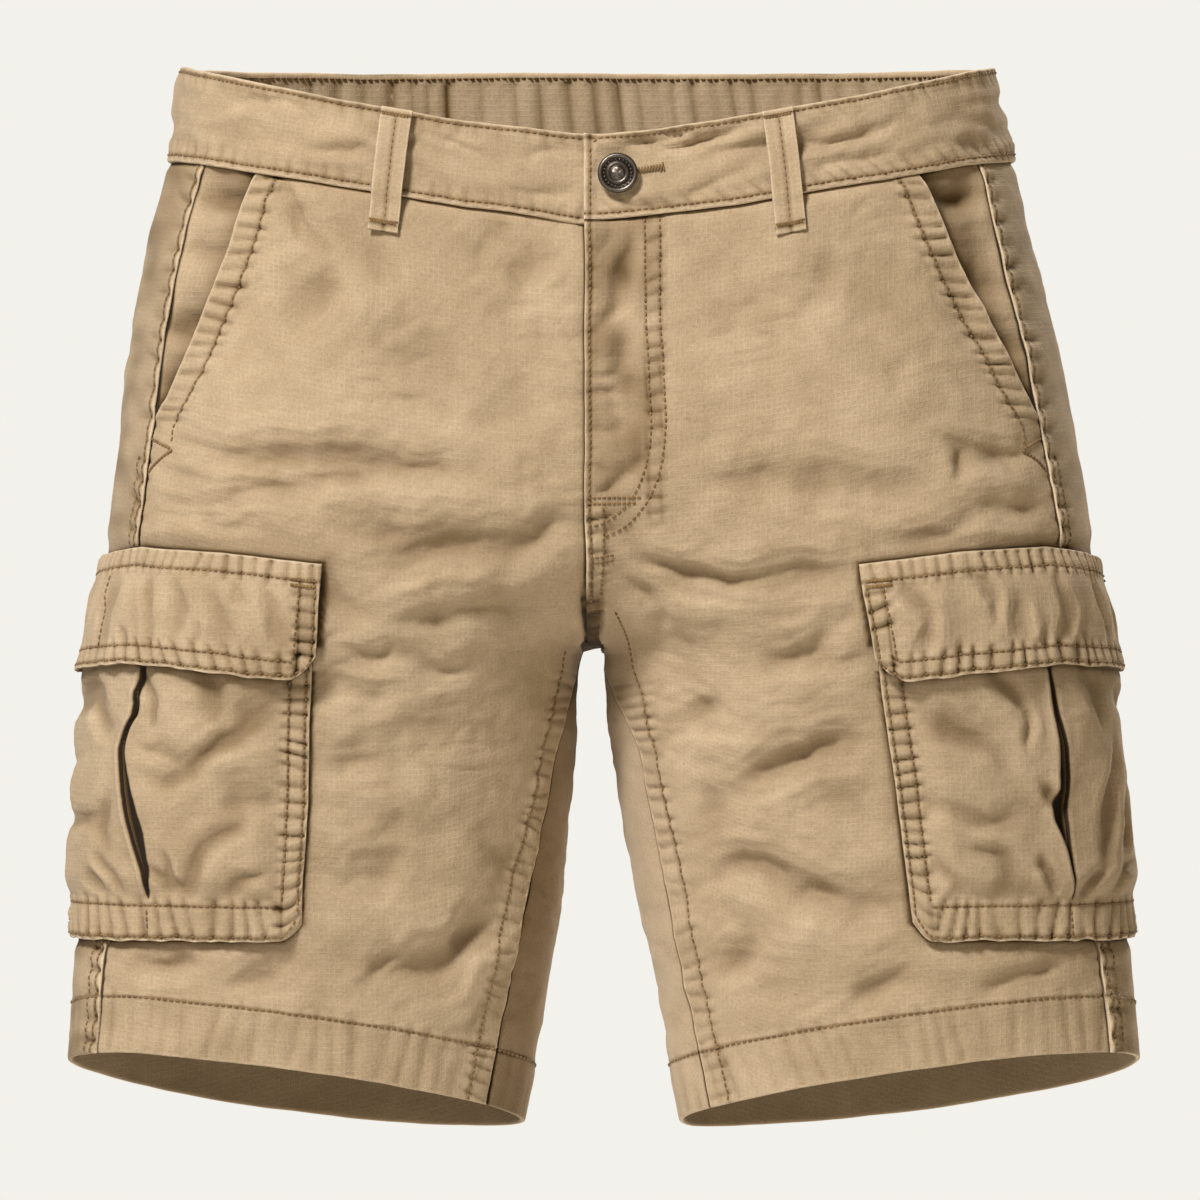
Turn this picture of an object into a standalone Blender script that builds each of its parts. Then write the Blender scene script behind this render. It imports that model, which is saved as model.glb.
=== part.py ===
"""Cargo shorts, filled out and hollow, hung from the waist.

Millimetres are used throughout and turned into metres when a mesh is made. +X is the wearer's left,
-Y the front and +Z up. The origin is the middle of the waist, half way up the waistband at the sides.
Each half of the body is a stack of rings. A ring is an oval round one leg, described by an angle that
is 0 at the inner thigh, 90 at the front, 180 at the outer side and 270 at the back. Above the fork the
two ovals run into each other and are cut at the centre seams.
"""

import math

import bmesh
import bpy
import numpy as np

MM = 0.001

# Walls and gaps.
CLOTH = 1.3
HEM_WALL = 2.4
BAND_WALL = 2.6
BAND_HEIGHT = 41.0
BAND_PROUD = 0.8
FACING_WALL = 1.1
FACING_DEPTH = 2.1
SEAM_GAP = 0.45
LAYER_GAP = 0.9

# How many steps a ring or an edge is measured in, before points are placed along it.
FINE = 240

# The centre-front and centre-back seams stand a little to the wearer's right of the origin.
CENTRE_X = -3.0
SIDE_POWER = 2.3
LEFT, RIGHT = 1, -1

# One row for each ring from the top of the waistband to the fork: its height at the side, centre front
# and centre back, how far each side reaches from the centre seam, where the oval is deepest as a share of
# that reach, how far the oval has dived towards the fork, its depth to the front and the back, and how
# soon its height falls from the side to the centre.
TORSO_COLUMNS = (
    "z_side", "z_front", "z_back", "out_right", "out_left", "centre", "dive", "front", "back", "bow",
)
TORSO = (
    (19.8, -13.7, 20.7, 185.8, 179.8, 0.34, 0.12, 90.0, 91.0, 0.90),
    (-22.0, -51.2, -19.8, 190.5, 188.0, 0.36, 0.12, 93.0, 95.0, 1.05),
    (-62.0, -85.0, -61.0, 200.6, 197.6, 0.38, 0.13, 98.0, 105.0, 1.10),
    (-107.0, -123.0, -107.0, 208.3, 208.4, 0.41, 0.16, 102.0, 115.0, 1.10),
    (-152.0, -161.0, -153.0, 213.7, 217.4, 0.44, 0.24, 104.0, 120.0, 1.10),
    (-191.0, -196.0, -194.0, 218.3, 223.7, 0.47, 0.44, 102.0, 119.0, 1.05),
    (-217.0, -224.0, -223.0, 221.0, 226.7, 0.485, 0.75, 99.0, 113.0, 1.00),
    (-234.0, -243.0, -243.0, 222.3, 228.3, 0.50, 1.00, 95.0, 106.0, 1.00),
)
# One row for each ring below the fork: its height at the outer and the inner side, the reach of its outer
# and inner sides from the centre seam, its depths, how far the front is raised and the back lowered, and
# the angle of the inseam on each leg.
LEG_COLUMNS = (
    "z_side", "z_in", "out_right", "out_left", "in_right", "in_left", "front", "back", "rake",
    "inseam_right", "inseam_left",
)
LEG = (
    (-263.0, -273.0, 224.3, 230.7, 6.9, 6.2, 88.0, 94.0, 1.5, 18.0, 20.0),
    (-304.0, -315.0, 227.3, 234.4, 9.8, 12.6, 80.0, 82.0, 4.0, 26.0, 27.0),
    (-346.0, -362.0, 230.3, 238.1, 14.5, 21.2, 72.0, 71.0, 6.5, 31.5, 29.0),
    (-389.0, -408.0, 233.4, 242.0, 22.6, 30.8, 65.0, 62.0, 9.0, 33.0, 29.0),
    (-426.0, -454.0, 236.1, 244.8, 31.0, 39.0, 59.0, 56.0, 11.5, 33.5, 29.0),
)
V_BAND_TOP, V_WAIST, V_FORK, V_HEM = 0.0, 1.0, len(TORSO) - 1.0, len(TORSO) + len(LEG) - 1.0
SIDE_SEAM_DEG = 147.0
FORK_LEVELS = (6.62, 6.8, 6.91, 6.97, 7.0, 7.05, 7.16, 7.36, 7.65)

# The slant of each hand pocket from top to bottom: height, and reach from the centre seam.
SLANT_COLUMNS = ("z", "reach_right", "reach_left")
SLANT = (
    (-22.0, 147.5, 141.0),
    (-62.0, 160.3, 158.0),
    (-106.0, 177.3, 180.0),
    (-130.0, 189.2, 191.8),
    (-150.0, 200.5, 202.6),
)
FACING_UNDER = 15.0

# Cargo pockets. One row for each height: how far the pleat stands from the centre seam on each leg, and
# the pocket's half width, measured round the leg from the pleat towards the front and the back.
POCKET_FIT_COLUMNS = ("z", "pleat_right", "pleat_left", "half")
POCKET_FIT = (
    (-196.0, 199.0, 199.0, 88.0),
    (-215.0, 199.0, 199.5, 86.0),
    (-250.0, 199.0, 202.0, 82.0),
    (-300.0, 199.0, 206.5, 77.5),
    (-350.0, 199.0, 210.0, 73.5),
    (-371.0, 199.0, 211.0, 72.0),
)
POCKET_TOP, POCKET_BOTTOM = -211.0, -371.0
POCKET_SHARES = (-1, -0.94, -0.85, -0.71, -0.53, -0.35, -0.19, -0.08, -0.04, -0.015)
POCKET_ROWS = 13
POCKET_WALL = 1.2
POCKET_RISE = 4.6
POCKET_BORDER = 20.0
POCKET_MOUTH = 8.0
PLEAT_DEPTH = 2.9
PLEAT_WIDTH = 2.6
FLAP_OVER = 2.5
FLAP_CLEAR = 0.6
FLAP_TOP, FLAP_BOTTOM = -196.0, -247.5
FLAP_DROP = ((-1.0, 6.0), (-0.5, 3.0), (0.0, 0.0), (0.5, 2.5), (1.0, 7.5))
FLAP_WALL = 1.6
FLAP_CORNER = 13.0
FLAP_CORNER_SLOPE = 0.9
FLAP_TOP_BAND = 8.0

# Belt loops: name, reach along X where they stand, whether at the back, and how much they lean.
LOOP_WIDTH, LOOP_LENGTH, LOOP_WALL = 13.5, 56.0, 1.5
LOOPS = (
    ("belt_loop_front_right", -92.3, False, 6.4),
    ("belt_loop_front_left", 81.1, False, -6.2),
    ("belt_loop_back_right", -112.0, True, 2.0),
    ("belt_loop_back_centre", CENTRE_X, True, 0.0),
    ("belt_loop_back_left", 106.0, True, -2.0),
)
LOOP_RISE = 2.2
LOOP_ROUNDNESS = 0.6

# The waistband's ends lap at the front: the upper one ends past the centre, the other runs on under it.
LAP_UNDER = 30.0
LAP_OVER = 3.8
LAP_SLOPE = 34.0

# The left front laps over the right one along the fly, down to a little above the fork.
FLY_LAP = 3.6
FLY_LIFT = 1.8
FLY_EDGE = (0.0, 4.5, 11.0)
V_FLY_END = 5.75

BUTTON_X, BUTTON_Z = 7.9, -31.7
BUTTON_RADIUS, BUTTON_HEAD, BUTTON_SHANK = 8.9, 2.8, 3.0

# The largest creases of each front: a line of points (X, Z), its depth, and its half width.
CREASE_COLUMNS = ("line", "depth", "width")
CREASES = (
    (((-191, -150), (-150, -153), (-118, -147)), 2.6, 9.0),
    (((-186, -163), (-150, -167), (-112, -161)), 1.8, 8.0),
    (((-6, -178), (-40, -192), (-87, -197), (-118, -199)), 3.2, 11.0),
    (((-24, -219), (-53, -223), (-90, -229)), 2.6, 9.0),
    (((-122, -254), (-88, -257), (-55, -268)), 2.0, 9.0),
    (((-50, -315), (-56, -352), (-87, -385), (-120, -396)), 3.4, 15.0),
    (((6, -196), (40, -206), (78, -210), (116, -203)), 3.4, 11.0),
    (((139, -195), (173, -178), (206, -173)), 2.6, 9.0),
    (((200, -153), (175, -148), (158, -146)), 2.0, 9.0),
    (((64, -308), (94, -288), (122, -282)), 2.2, 10.0),
    (((46, -350), (58, -341), (76, -339), (94, -350)), 2.0, 9.0),
    (((138, -31), (121, -50), (94, -62)), 2.0, 9.0),
    (((-140, -31), (-128, -48), (-104, -62), (-88, -78)), 1.6, 8.0),
    (((14, -48), (15, -68), (10, -86), (2, -98)), 1.6, 5.5),
    (((62, -388), (80, -372), (110, -360)), 2.0, 11.0),
    (((-160, -392), (-138, -380)), 1.2, 8.0),
)

CLOTH_COLOUR = (0.44, 0.32, 0.18, 1.0)
METAL_COLOUR = (0.075, 0.062, 0.05, 1.0)


# ---------------------------------------------------------------- the body's rings


def smoothstep(value):
    value = np.clip(value, 0.0, 1.0)
    return value * value * (3 - 2 * value)


def along_rows(values, v):
    """A smooth curve through one value a row, read at row positions v."""
    values = np.asarray(values, float)
    padded = np.concatenate(([2 * values[0] - values[1]], values, [2 * values[-1] - values[-2]]))
    v = np.clip(np.asarray(v, float), 0, len(values) - 1)
    i = np.minimum(v.astype(int), len(values) - 2)
    t = v - i
    a, b, c, d = (padded[i + k] for k in range(4))
    return b + 0.5 * t * (c - a + t * (2 * a - 5 * b + 4 * c - d + t * (3 * (b - c) + d - a)))


def side_rows(side):
    """Each quantity of one side as a list with a value for every row, from the waistband to the hem."""
    ending = "_left" if side == LEFT else "_right"
    torso = [dict(zip(TORSO_COLUMNS, row)) for row in TORSO]
    leg = [dict(zip(LEG_COLUMNS, row)) for row in LEG]
    out = [row["out" + ending] for row in torso + leg]
    inner = [0.0] * len(torso) + [row["in" + ending] for row in leg]
    centre = [row["centre"] * row["out" + ending] for row in torso]
    centre += [(row["in" + ending] + row["out" + ending]) / 2 for row in leg]
    dive = [row["dive"] for row in torso]
    dive += [c / (c - i) for c, i in zip(centre[len(torso):], inner[len(torso):])]
    return {
        "z_side": [row["z_side"] for row in torso + leg],
        "z_front": [row["z_front"] for row in torso] + [row["z_in"] for row in leg],
        "z_back": [row["z_back"] for row in torso] + [row["z_in"] for row in leg],
        "front": [row["front"] for row in torso + leg],
        "back": [row["back"] for row in torso + leg],
        "rake": [0.0] * len(torso) + [row["rake"] for row in leg],
        "inseam": [0.0] * len(torso) + [row["inseam" + ending] for row in leg],
        "bow": [row["bow"] for row in torso] + [1.0] * len(leg),
        "out": out,
        "inner": inner,
        "centre": centre,
        "dive": dive,
    }


ROWS = {side: side_rows(side) for side in (LEFT, RIGHT)}


def body_point(side, v, degrees):
    """The smooth body at row position v and ring angle, as points (X, Y, Z)."""
    v, degrees = np.broadcast_arrays(np.asarray(v, float), np.asarray(degrees, float))
    row = {name: along_rows(values, v) for name, values in ROWS[side].items()}
    cos, sin = np.cos(np.radians(degrees)), np.sin(np.radians(degrees))
    inside = cos > 0
    power = np.where(inside, 1.0, 2 / SIDE_POWER)
    reach = np.where(
        inside,
        row["centre"] * (1 - cos / row["dive"]),
        row["centre"] + (row["out"] - row["centre"]) * np.abs(cos) ** power,
    )
    depth = np.where(sin > 0, row["front"], row["back"])
    y = -np.sign(sin) * depth * np.abs(sin) ** power
    inward = np.clip((row["out"] - reach) / (row["out"] - row["inner"]), 0, 1)
    share = (1 - (1 - inward) ** (1.35 - 0.35 * smoothstep(v / V_FORK))) ** row["bow"]
    z_centre = np.where(sin > 0, row["z_front"], row["z_back"])
    z = row["z_side"] + (z_centre - row["z_side"]) * share + row["rake"] * sin
    return np.stack([CENTRE_X + side * (reach + SEAM_GAP / 2), y, z], -1)


def body_normal(side, v, degrees):
    """The outward normal there."""
    across = body_point(side, v, np.asarray(degrees) + 0.4) - body_point(side, v, np.asarray(degrees) - 0.4)
    down = body_point(side, np.asarray(v) + 0.01, degrees) - body_point(side, np.asarray(v) - 0.01, degrees)
    normal = np.cross(down, across) * side
    return normal / np.linalg.norm(normal, axis=-1, keepdims=True)


def line_distance(x, z, line):
    """Distance from each (X, Z) to a line of points, and the share of its length that the foot is along it."""
    line = np.asarray(line, float)
    lengths = np.linalg.norm(np.diff(line, axis=0), axis=1)
    best, along, passed = np.full(np.shape(x), np.inf), np.zeros(np.shape(x)), 0.0
    for start, step, length in zip(line[:-1], np.diff(line, axis=0), lengths):
        t = np.clip(((x - start[0]) * step[0] + (z - start[1]) * step[1]) / length**2, 0, 1)
        away = np.hypot(x - start[0] - t * step[0], z - start[1] - t * step[1])
        along = np.where(away < best, (passed + t * length) / lengths.sum(), along)
        best = np.minimum(away, best)
        passed += length
    return best, along


def pocket_fit(side, z):
    """Reach of the pleat from the centre seam and half width of the cargo pocket at height z."""
    table = np.array(POCKET_FIT)
    pleat = table[:, POCKET_FIT_COLUMNS.index("pleat_left" if side == LEFT else "pleat_right")]
    return np.interp(-z, -table[:, 0], pleat), np.interp(-z, -table[:, 0], table[:, -1])


def under_pocket(side, point):
    """1 where a cargo pocket or its flap lies over the body, fading to 0 round it."""
    reach = side * (point[..., 0] - CENTRE_X)
    pleat, half = pocket_fit(side, point[..., 2])
    edge = pleat - 0.86 * half
    beside = smoothstep((reach - edge + 14) / 14)
    high = smoothstep((FLAP_TOP + 16 - point[..., 2]) / 12)
    low = smoothstep((point[..., 2] - POCKET_BOTTOM + 14) / 10)
    return beside * high * low


def crease_depth(side, v, degrees, point):
    """How far the creases of the front sink the cloth at each point."""
    depth = np.zeros(point.shape[:-1])
    for row in CREASES:
        crease = dict(zip(CREASE_COLUMNS, row))
        away, along = line_distance(point[..., 0], point[..., 2], crease["line"])
        depth += crease["depth"] * np.exp(-((away / crease["width"]) ** 2)) * np.sin(
            np.pi * np.clip(0.12 + 0.76 * along, 0, 1)
        )
    facing_front = smoothstep((np.sin(np.radians(degrees)) - 0.35) / 0.35)
    below_band = smoothstep((np.asarray(v) - V_WAIST - 0.05) / 0.5)
    above_hem = smoothstep((V_HEM - 0.6 - np.asarray(v)) / 0.6)
    return depth * facing_front * below_band * above_hem * (1 - under_pocket(side, point))


def cloth_point(side, v, degrees, out=0.0):
    """A point on the creased body, moved out along its normal."""
    point = body_point(side, v, degrees)
    out = np.asarray(out, float) - crease_depth(side, v, degrees, point)
    return point + body_normal(side, v, degrees) * out[..., None]


# ---------------------------------------------------------------- edges of the panels


def centre_or_inseam(side, v):
    """The ring angle of the front's inner edge: the centre seam above the fork, the inseam below it."""
    dive = np.clip(along_rows(ROWS[side]["dive"], v), 0, 1)
    inseam = np.clip(along_rows(ROWS[side]["inseam"], v), 0, None)
    return np.where(np.asarray(v) <= V_FORK, np.degrees(np.arccos(dive)), inseam)


def slant_edge(side, v):
    """The ring angle of the front's outer edge: the slant of the hand pocket, then the side seam."""
    table = np.array(SLANT)
    slant = table[:, SLANT_COLUMNS.index("reach_left" if side == LEFT else "reach_right")]
    angles = np.linspace(90.0, SIDE_SEAM_DEG, FINE)
    point = body_point(side, v, angles)
    reach = side * (point[:, 0] - CENTRE_X)
    past = np.nonzero(reach >= np.interp(-point[:, 2], -table[:, 0], slant))[0]
    return angles[past[0]] if len(past) and point[past[0], 2] > SLANT[-1][0] else SIDE_SEAM_DEG


def even_angles(side, v, start, end, count, trim=SEAM_GAP / 2):
    """count angles, evenly spaced along one ring from start to end, a trim short of both."""
    angles = np.linspace(start, end, FINE)
    steps = np.linalg.norm(np.diff(body_point(side, v, angles), axis=0), axis=1)
    length = np.concatenate(([0.0], np.cumsum(steps)))
    return np.interp(np.linspace(trim, length[-1] - trim, count), length, angles)


def level_ring(side, z, start, end, count=FINE):
    """Angles, row positions and lengths along the body at one height."""
    angles = np.linspace(start, end, count)
    rows = np.linspace(V_WAIST, V_HEM, FINE)
    heights = body_point(side, rows[:, None], angles[None, :])[..., 2]
    v = np.array([np.interp(-z, -heights[:, k], rows) for k in range(count)])
    steps = np.linalg.norm(np.diff(body_point(side, v, angles), axis=0), axis=1)
    return angles, v, np.concatenate(([0.0], np.cumsum(steps)))


def round_leg(side, z, across):
    """Ring angles and row positions at height z, at distances across from the pleat, positive to the front."""
    angles, v, length = level_ring(side, z, 60.0, 290.0)
    reach = side * (body_point(side, v, angles)[:, 0] - CENTRE_X)
    front = angles < 180
    pleat = np.interp(pocket_fit(side, z)[0], reach[front], length[front])
    at = pleat - np.asarray(across, float)
    return np.interp(at, length, angles), np.interp(at, length, v)


# ---------------------------------------------------------------- meshes


def material(name, colour, roughness, metallic):
    made = bpy.data.materials.new(name)
    made.use_nodes = True
    shader = made.node_tree.nodes["Principled BSDF"]
    shader.inputs["Base Color"].default_value = colour
    shader.inputs["Roughness"].default_value = roughness
    shader.inputs["Metallic"].default_value = metallic
    made.diffuse_color = colour
    return made


def new_object(name, mesh, finish):
    obj = bpy.data.objects.new(name, mesh)
    bpy.data.collections["cargo_shorts"].objects.link(obj)
    mesh.materials.append(finish)
    mesh.shade_smooth()
    mesh.set_sharp_from_angle(angle=math.radians(40))
    return obj


def cloth_sheet(name, outer, normal, wall, finish):
    """A wall of cloth from a grid of points on its outer face and the normals there."""
    rows, columns = outer.shape[:2]
    inner = outer - normal * np.broadcast_to(wall, (rows, columns))[..., None]
    points = np.concatenate([outer.reshape(-1, 3), inner.reshape(-1, 3)]) * MM
    under = rows * columns
    faces = []
    for row in range(rows - 1):
        for column in range(columns - 1):
            first = row * columns + column
            quad = (first, first + columns, first + columns + 1, first + 1)
            faces += [quad, tuple(under + corner for corner in reversed(quad))]
    rim = list(range(columns))
    rim += [row * columns + columns - 1 for row in range(1, rows)]
    rim += [(rows - 1) * columns + column for column in range(columns - 2, -1, -1)]
    rim += [row * columns for row in range(rows - 2, 0, -1)]
    faces += [(a, b, under + b, under + a) for a, b in zip(rim, rim[1:] + rim[:1])]
    across = outer[rows // 2, columns // 2 + 1] - outer[rows // 2, columns // 2]
    down = outer[rows // 2 + 1, columns // 2] - outer[rows // 2, columns // 2]
    if np.dot(np.cross(down, across), normal[rows // 2, columns // 2]) < 0:
        faces = [tuple(reversed(face)) for face in faces]
    mesh = bpy.data.meshes.new(name)
    mesh.from_pydata([tuple(point) for point in points], [], faces)
    mesh.update()
    return new_object(name, mesh, finish)


# ---------------------------------------------------------------- the pieces


def sew_panel(name, side, places, levels, finish):
    """A front or a back from places, a list of (sides, angles, lifts) with one entry a level."""
    points, outward, wall = [], [], []
    for v, (sides, angles, lifts) in zip(levels, places):
        own = cloth_point(side, v, angles, lifts)
        own_normal = body_normal(side, v, angles)
        other = cloth_point(-side, v, angles, lifts)
        other_normal = body_normal(-side, v, angles)
        here = (sides == side)[:, None]
        points.append(np.where(here, own, other))
        outward.append(np.where(here, own_normal, other_normal))
        wall.append(np.full(len(angles), CLOTH + (HEM_WALL - CLOTH) * smoothstep((v - V_HEM + 0.9) / 0.3)))
    return cloth_sheet(name, np.array(points), np.array(outward), np.array(wall), finish)


def fronts_and_backs(finish):
    levels = np.concatenate((np.linspace(V_WAIST + 0.014, 6.4, 15), FORK_LEVELS, np.linspace(8.0, V_HEM, 11)))
    for side, word in ((LEFT, "left"), (RIGHT, "right")):
        front, back = [], []
        for v in levels:
            inner = float(centre_or_inseam(side, v))
            if side == LEFT:
                front.append(lapped_front(v, inner, slant_edge(side, v)))
            else:
                front.append(flat_row(side, even_angles(side, v, inner, slant_edge(side, v), 17)))
            around = 360 + (inner if v > V_FORK else -inner)
            back.append(flat_row(side, even_angles(side, v, SIDE_SEAM_DEG, around, 19)))
        sew_panel(f"front_{word}", side, front, levels, finish)
        sew_panel(f"back_{word}", side, back, levels, finish)


def flat_row(side, angles):
    return np.full(len(angles), side), angles, np.zeros(len(angles))


def lapped_front(v, inner, outer, columns=18):
    """One row of the left front: past the centre it lies on the right front, lifted clear of it."""
    lap = (FLY_LAP + SEAM_GAP) * smoothstep((V_FLY_END - v) / 0.4)
    lift = FLY_LIFT * smoothstep((V_FLY_END + 0.45 - v) / 0.4)
    angles = np.linspace(inner, outer, FINE)
    steps = np.linalg.norm(np.diff(body_point(LEFT, v, angles), axis=0), axis=1)
    length = np.concatenate(([0.0], np.cumsum(steps)))
    edge = SEAM_GAP / 2 - lap
    ends = np.linspace(edge + FLY_EDGE[-1], length[-1] - SEAM_GAP / 2, columns - len(FLY_EDGE) + 1)
    across = np.concatenate((edge + np.array(FLY_EDGE), ends[1:]))
    over = np.linspace(inner, 90.0, 60)
    over_steps = np.linalg.norm(np.diff(body_point(RIGHT, v, over), axis=0), axis=1)
    over_length = np.concatenate(([0.0], np.cumsum(over_steps)))
    on_right = np.interp(-across, over_length, over)
    lifts = lift * (1 - smoothstep((across - 3.0) / 9.0))
    past = across < 0
    return np.where(past, RIGHT, LEFT), np.where(past, on_right, np.interp(across, length, angles)), lifts


def pocket_facings(finish):
    """The cloth seen inside each hand pocket, behind the slant and up to the side seam."""
    rows, columns = 11, 5
    for side, word in ((LEFT, "left"), (RIGHT, "right")):
        levels = np.linspace(V_WAIST + 0.014, V_WAIST + 3.1, rows)
        angles = []
        for v in levels:
            edge = slant_edge(side, v)
            full = even_angles(side, v, 60.0, edge, FINE, trim=0.0)
            length = np.linalg.norm(np.diff(body_point(side, v, full), axis=0), axis=1).sum()
            start = full[int(round((FINE - 1) * (1 - FACING_UNDER / length)))]
            angles.append(even_angles(side, v, start, SIDE_SEAM_DEG, columns, trim=SEAM_GAP))
        angles = np.array(angles)
        v = np.repeat(levels[:, None], columns, axis=1)
        points = cloth_point(side, v, angles, out=-FACING_DEPTH)
        cloth_sheet(f"hand_pocket_facing_{word}", points, body_normal(side, v, angles), FACING_WALL, finish)


def pocket_rise(across, half, height):
    """How far the outer face of a cargo pocket stands off the leg, at a distance across from its pleat."""
    inside = np.minimum(half - np.abs(across), height - POCKET_BOTTOM)
    inside = np.minimum(inside, POCKET_TOP + POCKET_MOUTH - height)
    full = POCKET_RISE * smoothstep(inside / POCKET_BORDER)
    down = np.clip((height - POCKET_BOTTOM) / (POCKET_TOP - POCKET_BOTTOM), 0, 1)
    pleat = PLEAT_DEPTH * np.exp(-((across / PLEAT_WIDTH) ** 2)) * smoothstep(down / 0.22)
    return LAYER_GAP + POCKET_WALL + full - np.minimum(pleat, full)


def flap_rise(across, half, height, top):
    """The same for the outer face of a flap, whose upper band is sewn to the leg."""
    free = smoothstep((top - height) / (2.4 * FLAP_TOP_BAND))
    sewn = LAYER_GAP + FLAP_WALL
    over_pocket = POCKET_RISE * smoothstep((half + FLAP_OVER + 1.5 - np.abs(across)) / POCKET_BORDER)
    return sewn + free * (over_pocket + POCKET_WALL + LAYER_GAP + FLAP_CLEAR)


def cargo_pockets(finish):
    shares = np.array(POCKET_SHARES + tuple(-share for share in reversed(POCKET_SHARES)))
    for side, word in ((LEFT, "left"), (RIGHT, "right")):
        points, outward = [], []
        for height in np.linspace(POCKET_TOP, POCKET_BOTTOM, POCKET_ROWS):
            half = pocket_fit(side, height)[1]
            angles, v = round_leg(side, height, shares * half)
            points.append(cloth_point(side, v, angles, pocket_rise(shares * half, half, height)))
            outward.append(body_normal(side, v, angles))
        cloth_sheet(f"cargo_pocket_{word}", np.array(points), np.array(outward), POCKET_WALL, finish)
        flap(side, word, finish)


def flap(side, word, finish):
    """A flap that hangs a little lower towards its ends, with its lower corners cut off."""
    points, outward = [], []
    for down in np.linspace(0, 1, 6):
        row, normals = [], []
        for share in np.linspace(-1, 1, 17):
            drop = np.interp(share, *zip(*FLAP_DROP))
            half = pocket_fit(side, FLAP_TOP - drop + (FLAP_BOTTOM - FLAP_TOP) * down)[1] + FLAP_OVER
            corner = max(0.0, (abs(share) - 1) * half + FLAP_CORNER)
            top, bottom = FLAP_TOP - drop, FLAP_BOTTOM - drop + FLAP_CORNER_SLOPE * corner
            height = top + (bottom - top) * down
            angle, v = round_leg(side, height, [share * half])
            row.append(cloth_point(side, v, angle, flap_rise(share * half, half, height, top))[0])
            normals.append(body_normal(side, v, angle)[0])
        points.append(row)
        outward.append(normals)
    cloth_sheet(f"cargo_flap_{word}", np.array(points), np.array(outward), FLAP_WALL, finish)


def band_ring(v):
    """One ring of the waistband, from the centre front round the wearer's right, back and left."""
    cut = float(centre_or_inseam(LEFT, v))
    right_half = np.linspace(cut, 360 - cut, FINE + 1)
    left_half = right_half[::-1][1:]
    points = np.concatenate([body_point(RIGHT, v, right_half), body_point(LEFT, v, left_half)])
    normals = np.concatenate([body_normal(RIGHT, v, right_half), body_normal(LEFT, v, left_half)])
    steps = np.linalg.norm(np.diff(np.vstack([points, points[:1]]), axis=0), axis=1)
    return points, normals, np.concatenate(([0.0], np.cumsum(steps)))


def band_points(v, lengths, out):
    """Points and normals of one ring of the waistband at lengths measured from the centre front."""
    points, normals, total = band_ring(v)
    at = np.asarray(lengths) % total[-1]
    closed_points, closed_normals = np.vstack([points, points[:1]]), np.vstack([normals, normals[:1]])
    place = np.stack([np.interp(at, total, closed_points[:, k]) for k in range(3)], -1)
    normal = np.stack([np.interp(at, total, closed_normals[:, k]) for k in range(3)], -1)
    normal /= np.linalg.norm(normal, axis=-1, keepdims=True)
    return place + normal * np.asarray(out)[..., None], normal


def waistband(finish):
    """One strip all round. Its first end dips under the last by more than its own thickness."""
    columns = 73
    points, outward = [], []
    for v in np.linspace(V_BAND_TOP, V_WAIST, 4):
        total = band_ring(v)[2][-1]
        lengths = np.linspace(-LAP_UNDER, total + LAP_OVER, columns)
        dip = (BAND_WALL + LAYER_GAP) * (1 - smoothstep((lengths - LAP_OVER) / LAP_SLOPE))
        row, normals = band_points(v, lengths, BAND_PROUD - dip)
        points.append(row)
        outward.append(normals)
    cloth_sheet("waistband", np.array(points), np.array(outward), BAND_WALL, finish)


def belt_loops(finish):
    for name, x, at_back, lean in LOOPS:
        points, outward = [], []
        for down in np.linspace(0, 1, 8):
            bulge = math.sin(math.pi * down) ** LOOP_ROUNDNESS
            middle_x = x - lean * (down - 0.5)
            row, normals = [], []
            for shift in (-LOOP_WIDTH / 2, 0.0, LOOP_WIDTH / 2):
                place, normal = band_side_point(middle_x + shift, at_back, down * LOOP_LENGTH)
                on_band = down * LOOP_LENGTH < BAND_HEIGHT
                base = (BAND_PROUD if on_band else 0.0) + LAYER_GAP + LOOP_WALL
                row.append(place + normal * (base + LOOP_RISE * bulge))
                normals.append(normal)
            points.append(row)
            outward.append(normals)
        cloth_sheet(name, np.array(points), np.array(outward), LOOP_WALL, finish)


def band_side_point(x, at_back, drop):
    """The point of the body and its normal at X, a drop below the top edge of the waistband."""
    side = RIGHT if x < CENTRE_X else LEFT
    angles = np.linspace(182, 279, FINE) if at_back else np.linspace(178, 81, FINE)
    rows = np.linspace(V_BAND_TOP, V_WAIST + 1, 60)
    grid = body_point(side, rows[:, None], angles[None, :])
    order = 1 if grid[0, -1, 0] > grid[0, 0, 0] else -1
    at_x = np.array([np.interp(order * x, order * g[:, 0], angles) for g in grid])
    heights = body_point(side, rows, at_x)[:, 2]
    v = np.interp(-(heights[0] - drop), -heights, rows)
    angle = np.interp(v, rows, at_x)
    return body_point(side, v, angle), body_normal(side, v, angle)


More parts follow.
